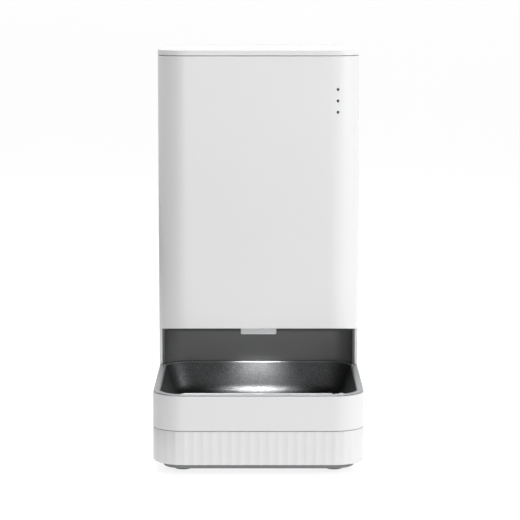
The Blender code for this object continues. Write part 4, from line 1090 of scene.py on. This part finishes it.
def make_lid():
    top_edge = rounded([(0, lid_z, 0.25 * MM), (0, height, 0.9 * MM), (60 * MM, height, 0)], 6)
    path = [(60 * MM, lid_z)] + [(max(a, 0), z) for a, z in top_edge]
    path[1] = Vector((0.25 * MM, lid_z))
    path.insert(2, Vector((0, lid_z + 0.25 * MM)))
    solid = sweep("Lid_cover", rings_of(tower, path))
    cut_flat(solid, (0, LID_BACK, 0), (0, 1, 0))
    soften(solid, 0.3 * MM, 70)
    inner = Plan(
        tower.half - LID_WALL,
        tower.front + LID_WALL,
        LID_BACK - LID_WALL,
        tower.front_radius - LID_WALL,
        1 * MM,
    )
    levels = (lid_z - 5 * MM, height - LID_TOP)
    room = sweep("Lid_room", [(inner.outline(), level) for level in levels])
    cut(solid, room)
    web = box(
        "Lid_web",
        (-KNUCKLE_HALF, LID_BACK - 1.2 * MM, hinge.z - 1.2 * MM),
        (KNUCKLE_HALF, hinge.y - 1.3 * MM, hinge.z + 1.2 * MM),
    )
    join(solid, web, knuckle(-KNUCKLE_HALF, KNUCKLE_HALF))
    return cut(solid, pin_bore(-1), pin_bore(1))


install(make_lid(), white, "lid")

# %% Rear cover
button_low, button_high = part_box("feed_button")
button_spot = (button_low + button_high) / 2


def make_cover():
    path = [
        (60 * MM, lid_z),
        (0.25 * MM, lid_z),
        (0, lid_z + 0.25 * MM),
        (0, height - 0.9 * MM),
        (0.12 * MM, height - 0.45 * MM),
        (0.45 * MM, height - 0.12 * MM),
        (0.9 * MM, height),
        (60 * MM, height),
    ]
    cover = sweep("Rear_cover", rings_of(tower, path))
    cut_flat(cover, (0, CAP_FRONT, 0), (0, -1, 0))
    soften(cover, 0.3 * MM, 70)
    for side in (-1, 1):
        left, right = sorted(side * end for end in COVER_KNUCKLE)
        web = box(
            "Cover_web",
            (left, hinge.y + 1.3 * MM, hinge.z - 1.2 * MM),
            (right, CAP_FRONT + 1 * MM, hinge.z + 1.2 * MM),
        )
        join(cover, web, knuckle(left, right))
    x, y = button_spot.x, button_spot.y
    hole = rod("Button_hole", (x, y, lid_z - 5 * MM), (x, y, height + 5 * MM), 3.9 * MM, 40)
    board_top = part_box("button_board")[1].z + 0.3 * MM
    for post_x in (-8 * MM, 8 * MM):
        ends = [(post_x, y, board_top), (post_x, y, lid_z + 2.4 * MM)]
        join(cover, rod("Cover_post", *ends, 2 * MM))
    return cut(cover, pin_bore(-1), pin_bore(1), hole)


install(make_cover(), white, "rear_cap")

# %% [markdown]
# ## Finishes on the pieces that stay as they are
# The mechanism's plates, gears and boards are already the shape they need, so they only receive
# their finish.

# %% Finishes of the other nodes
LOOKS = {
    "white_plastic": inner_white,
    "steel_bowl": bowl_steel,
    "dark_grey_plastic": recess_grey,
    "mid_grey_plastic": part_grey,
    "base_grey_plastic": base_grey,
    "foot_rubber": foot_rubber,
    "silicone": silicone,
    "smoke_plastic": smoke,
    "gear_plastic": nylon,
    "bright_steel": bright_steel,
    "brass": brass,
    "circuit_board": board_green,
    "black_plastic": black,
    "desiccant_paper": paper,
}
kept = [node for node in frame["nodes"] if node not in replaced]
for node in kept:
    mesh = frame["nodes"][node].data
    mesh.materials.clear()
    mesh.materials.append(LOOKS[SLOT_OF[node]].material)
print(f"{len(replaced)} nodes replaced, {len(kept)} finished as they are")

# %% [markdown]
# ## The room
# A pale floor curves up into a wall far behind, and glows a little like lit paper. The key lamp
# stands to the right, a wide weaker one low in front, and the strongest hangs overhead. Two small
# lamps light the bowl: one under the spout and one over the bowl's front. A low black card keeps
# the left side in shade. The camera sees neither the lamps nor the card.

# %% Stage and lamps


def make_backdrop():
    """A floor that curves up into a wall far behind, drawn as one line and extruded across X."""
    bm = bmesh.new()
    line = rounded([(-12, -0.0002, 0), (3.2, -0.0002, 0.8), (3.2, 4, 0)], 16)
    verts = [bm.verts.new((-12, y, z)) for y, z in line]
    edges = [bm.edges.new(pair) for pair in zip(verts, verts[1:])]
    grown = bmesh.ops.extrude_edge_only(bm, edges=edges)["geom"]
    far = [item for item in grown if isinstance(item, bmesh.types.BMVert)]
    bmesh.ops.translate(bm, vec=(24, 0, 0), verts=far)
    backdrop = as_object("Backdrop", bm)
    if backdrop.data.polygons[0].normal.z < 0:
        backdrop.data.flip_normals()
    look = Finish("Backdrop_paper", roughness=0.9, specular_ior_level=0, emission_strength=0.8)
    look.feed("Base Color", look.mix(look.noise(3), (0.33, 0.33, 0.33), (0.35, 0.35, 0.35)))
    look.feed("Emission Color", (1, 1, 1, 1))
    backdrop.data.materials.append(look.material)


def lamp(name, spot, target, width, tall, power):
    data = bpy.data.lights.new(name, "AREA")
    data.shape = "RECTANGLE"
    data.size, data.size_y = width, tall
    data.energy = power
    made = bpy.data.objects.new(name, data)
    made.location = spot
    aim = Vector(target) - Vector(spot)
    made.rotation_euler = aim.to_track_quat("-Z", "Y").to_euler()
    made.visible_camera = False
    bpy.context.scene.collection.objects.link(made)
    return made


make_backdrop()
lamp("Key_right", (2.0, -0.9, 0.8), (0, 0, 0.2), 1.2, 1.4, 24)
lamp("Fill_front", (0.1, -2.3, 0.2), (0, 0, 0.15), 1.8, 0.7, 15)
lamp("Overhead", (0, 0.1, 1.9), (0, -0.05, 0), 1.6, 1.2, 30)
glow = lamp("Spout_glow", (0, -0.012, 0.0998), (0, -0.006, 0.04), 0.034, 0.012, 0.028)
glow.data.spread = math.radians(82)
lamp("Bowl_bounce", (0, -0.125, 0.075), (0, -0.034, 0.155), 0.15, 0.04, 0.045)


def make_flag():
    """A low black card that keeps the left side in shade. The camera doesn't see it."""
    flag = box("Flag_left", (-0.505, -1.2, 0), (-0.5, 1.2, 0.13))
    look = Finish("Flag_felt", roughness=1.0, specular_ior_level=0)
    look.feed("Base Color", look.mix(look.noise(20), (0.01, 0.01, 0.01), (0.02, 0.02, 0.02)))
    flag.data.materials.append(look.material)
    flag.visible_camera = False


make_flag()
world = bpy.data.worlds.new("Studio")
world.use_nodes = True
background = world.node_tree.nodes["Background"]
background.inputs["Color"].default_value = (1, 1, 1, 1)
background.inputs["Strength"].default_value = 0.1
bpy.context.scene.world = world
bpy.context.scene.view_settings.view_transform = "Standard"

# %% Camera
camera_data = bpy.data.cameras.new("Camera")
camera_data.lens = 145.3
camera_data.sensor_width = 36
camera_data.shift_x = 0.0028
camera = bpy.data.objects.new("Camera", camera_data)
camera.location = (0, -1.9312, 0.4178)
camera.rotation_euler = (math.radians(90 - 7.393), 0, 0)
bpy.context.scene.collection.objects.link(camera)
bpy.context.scene.camera = camera

# %% The end
bpy.context.view_layer.update()
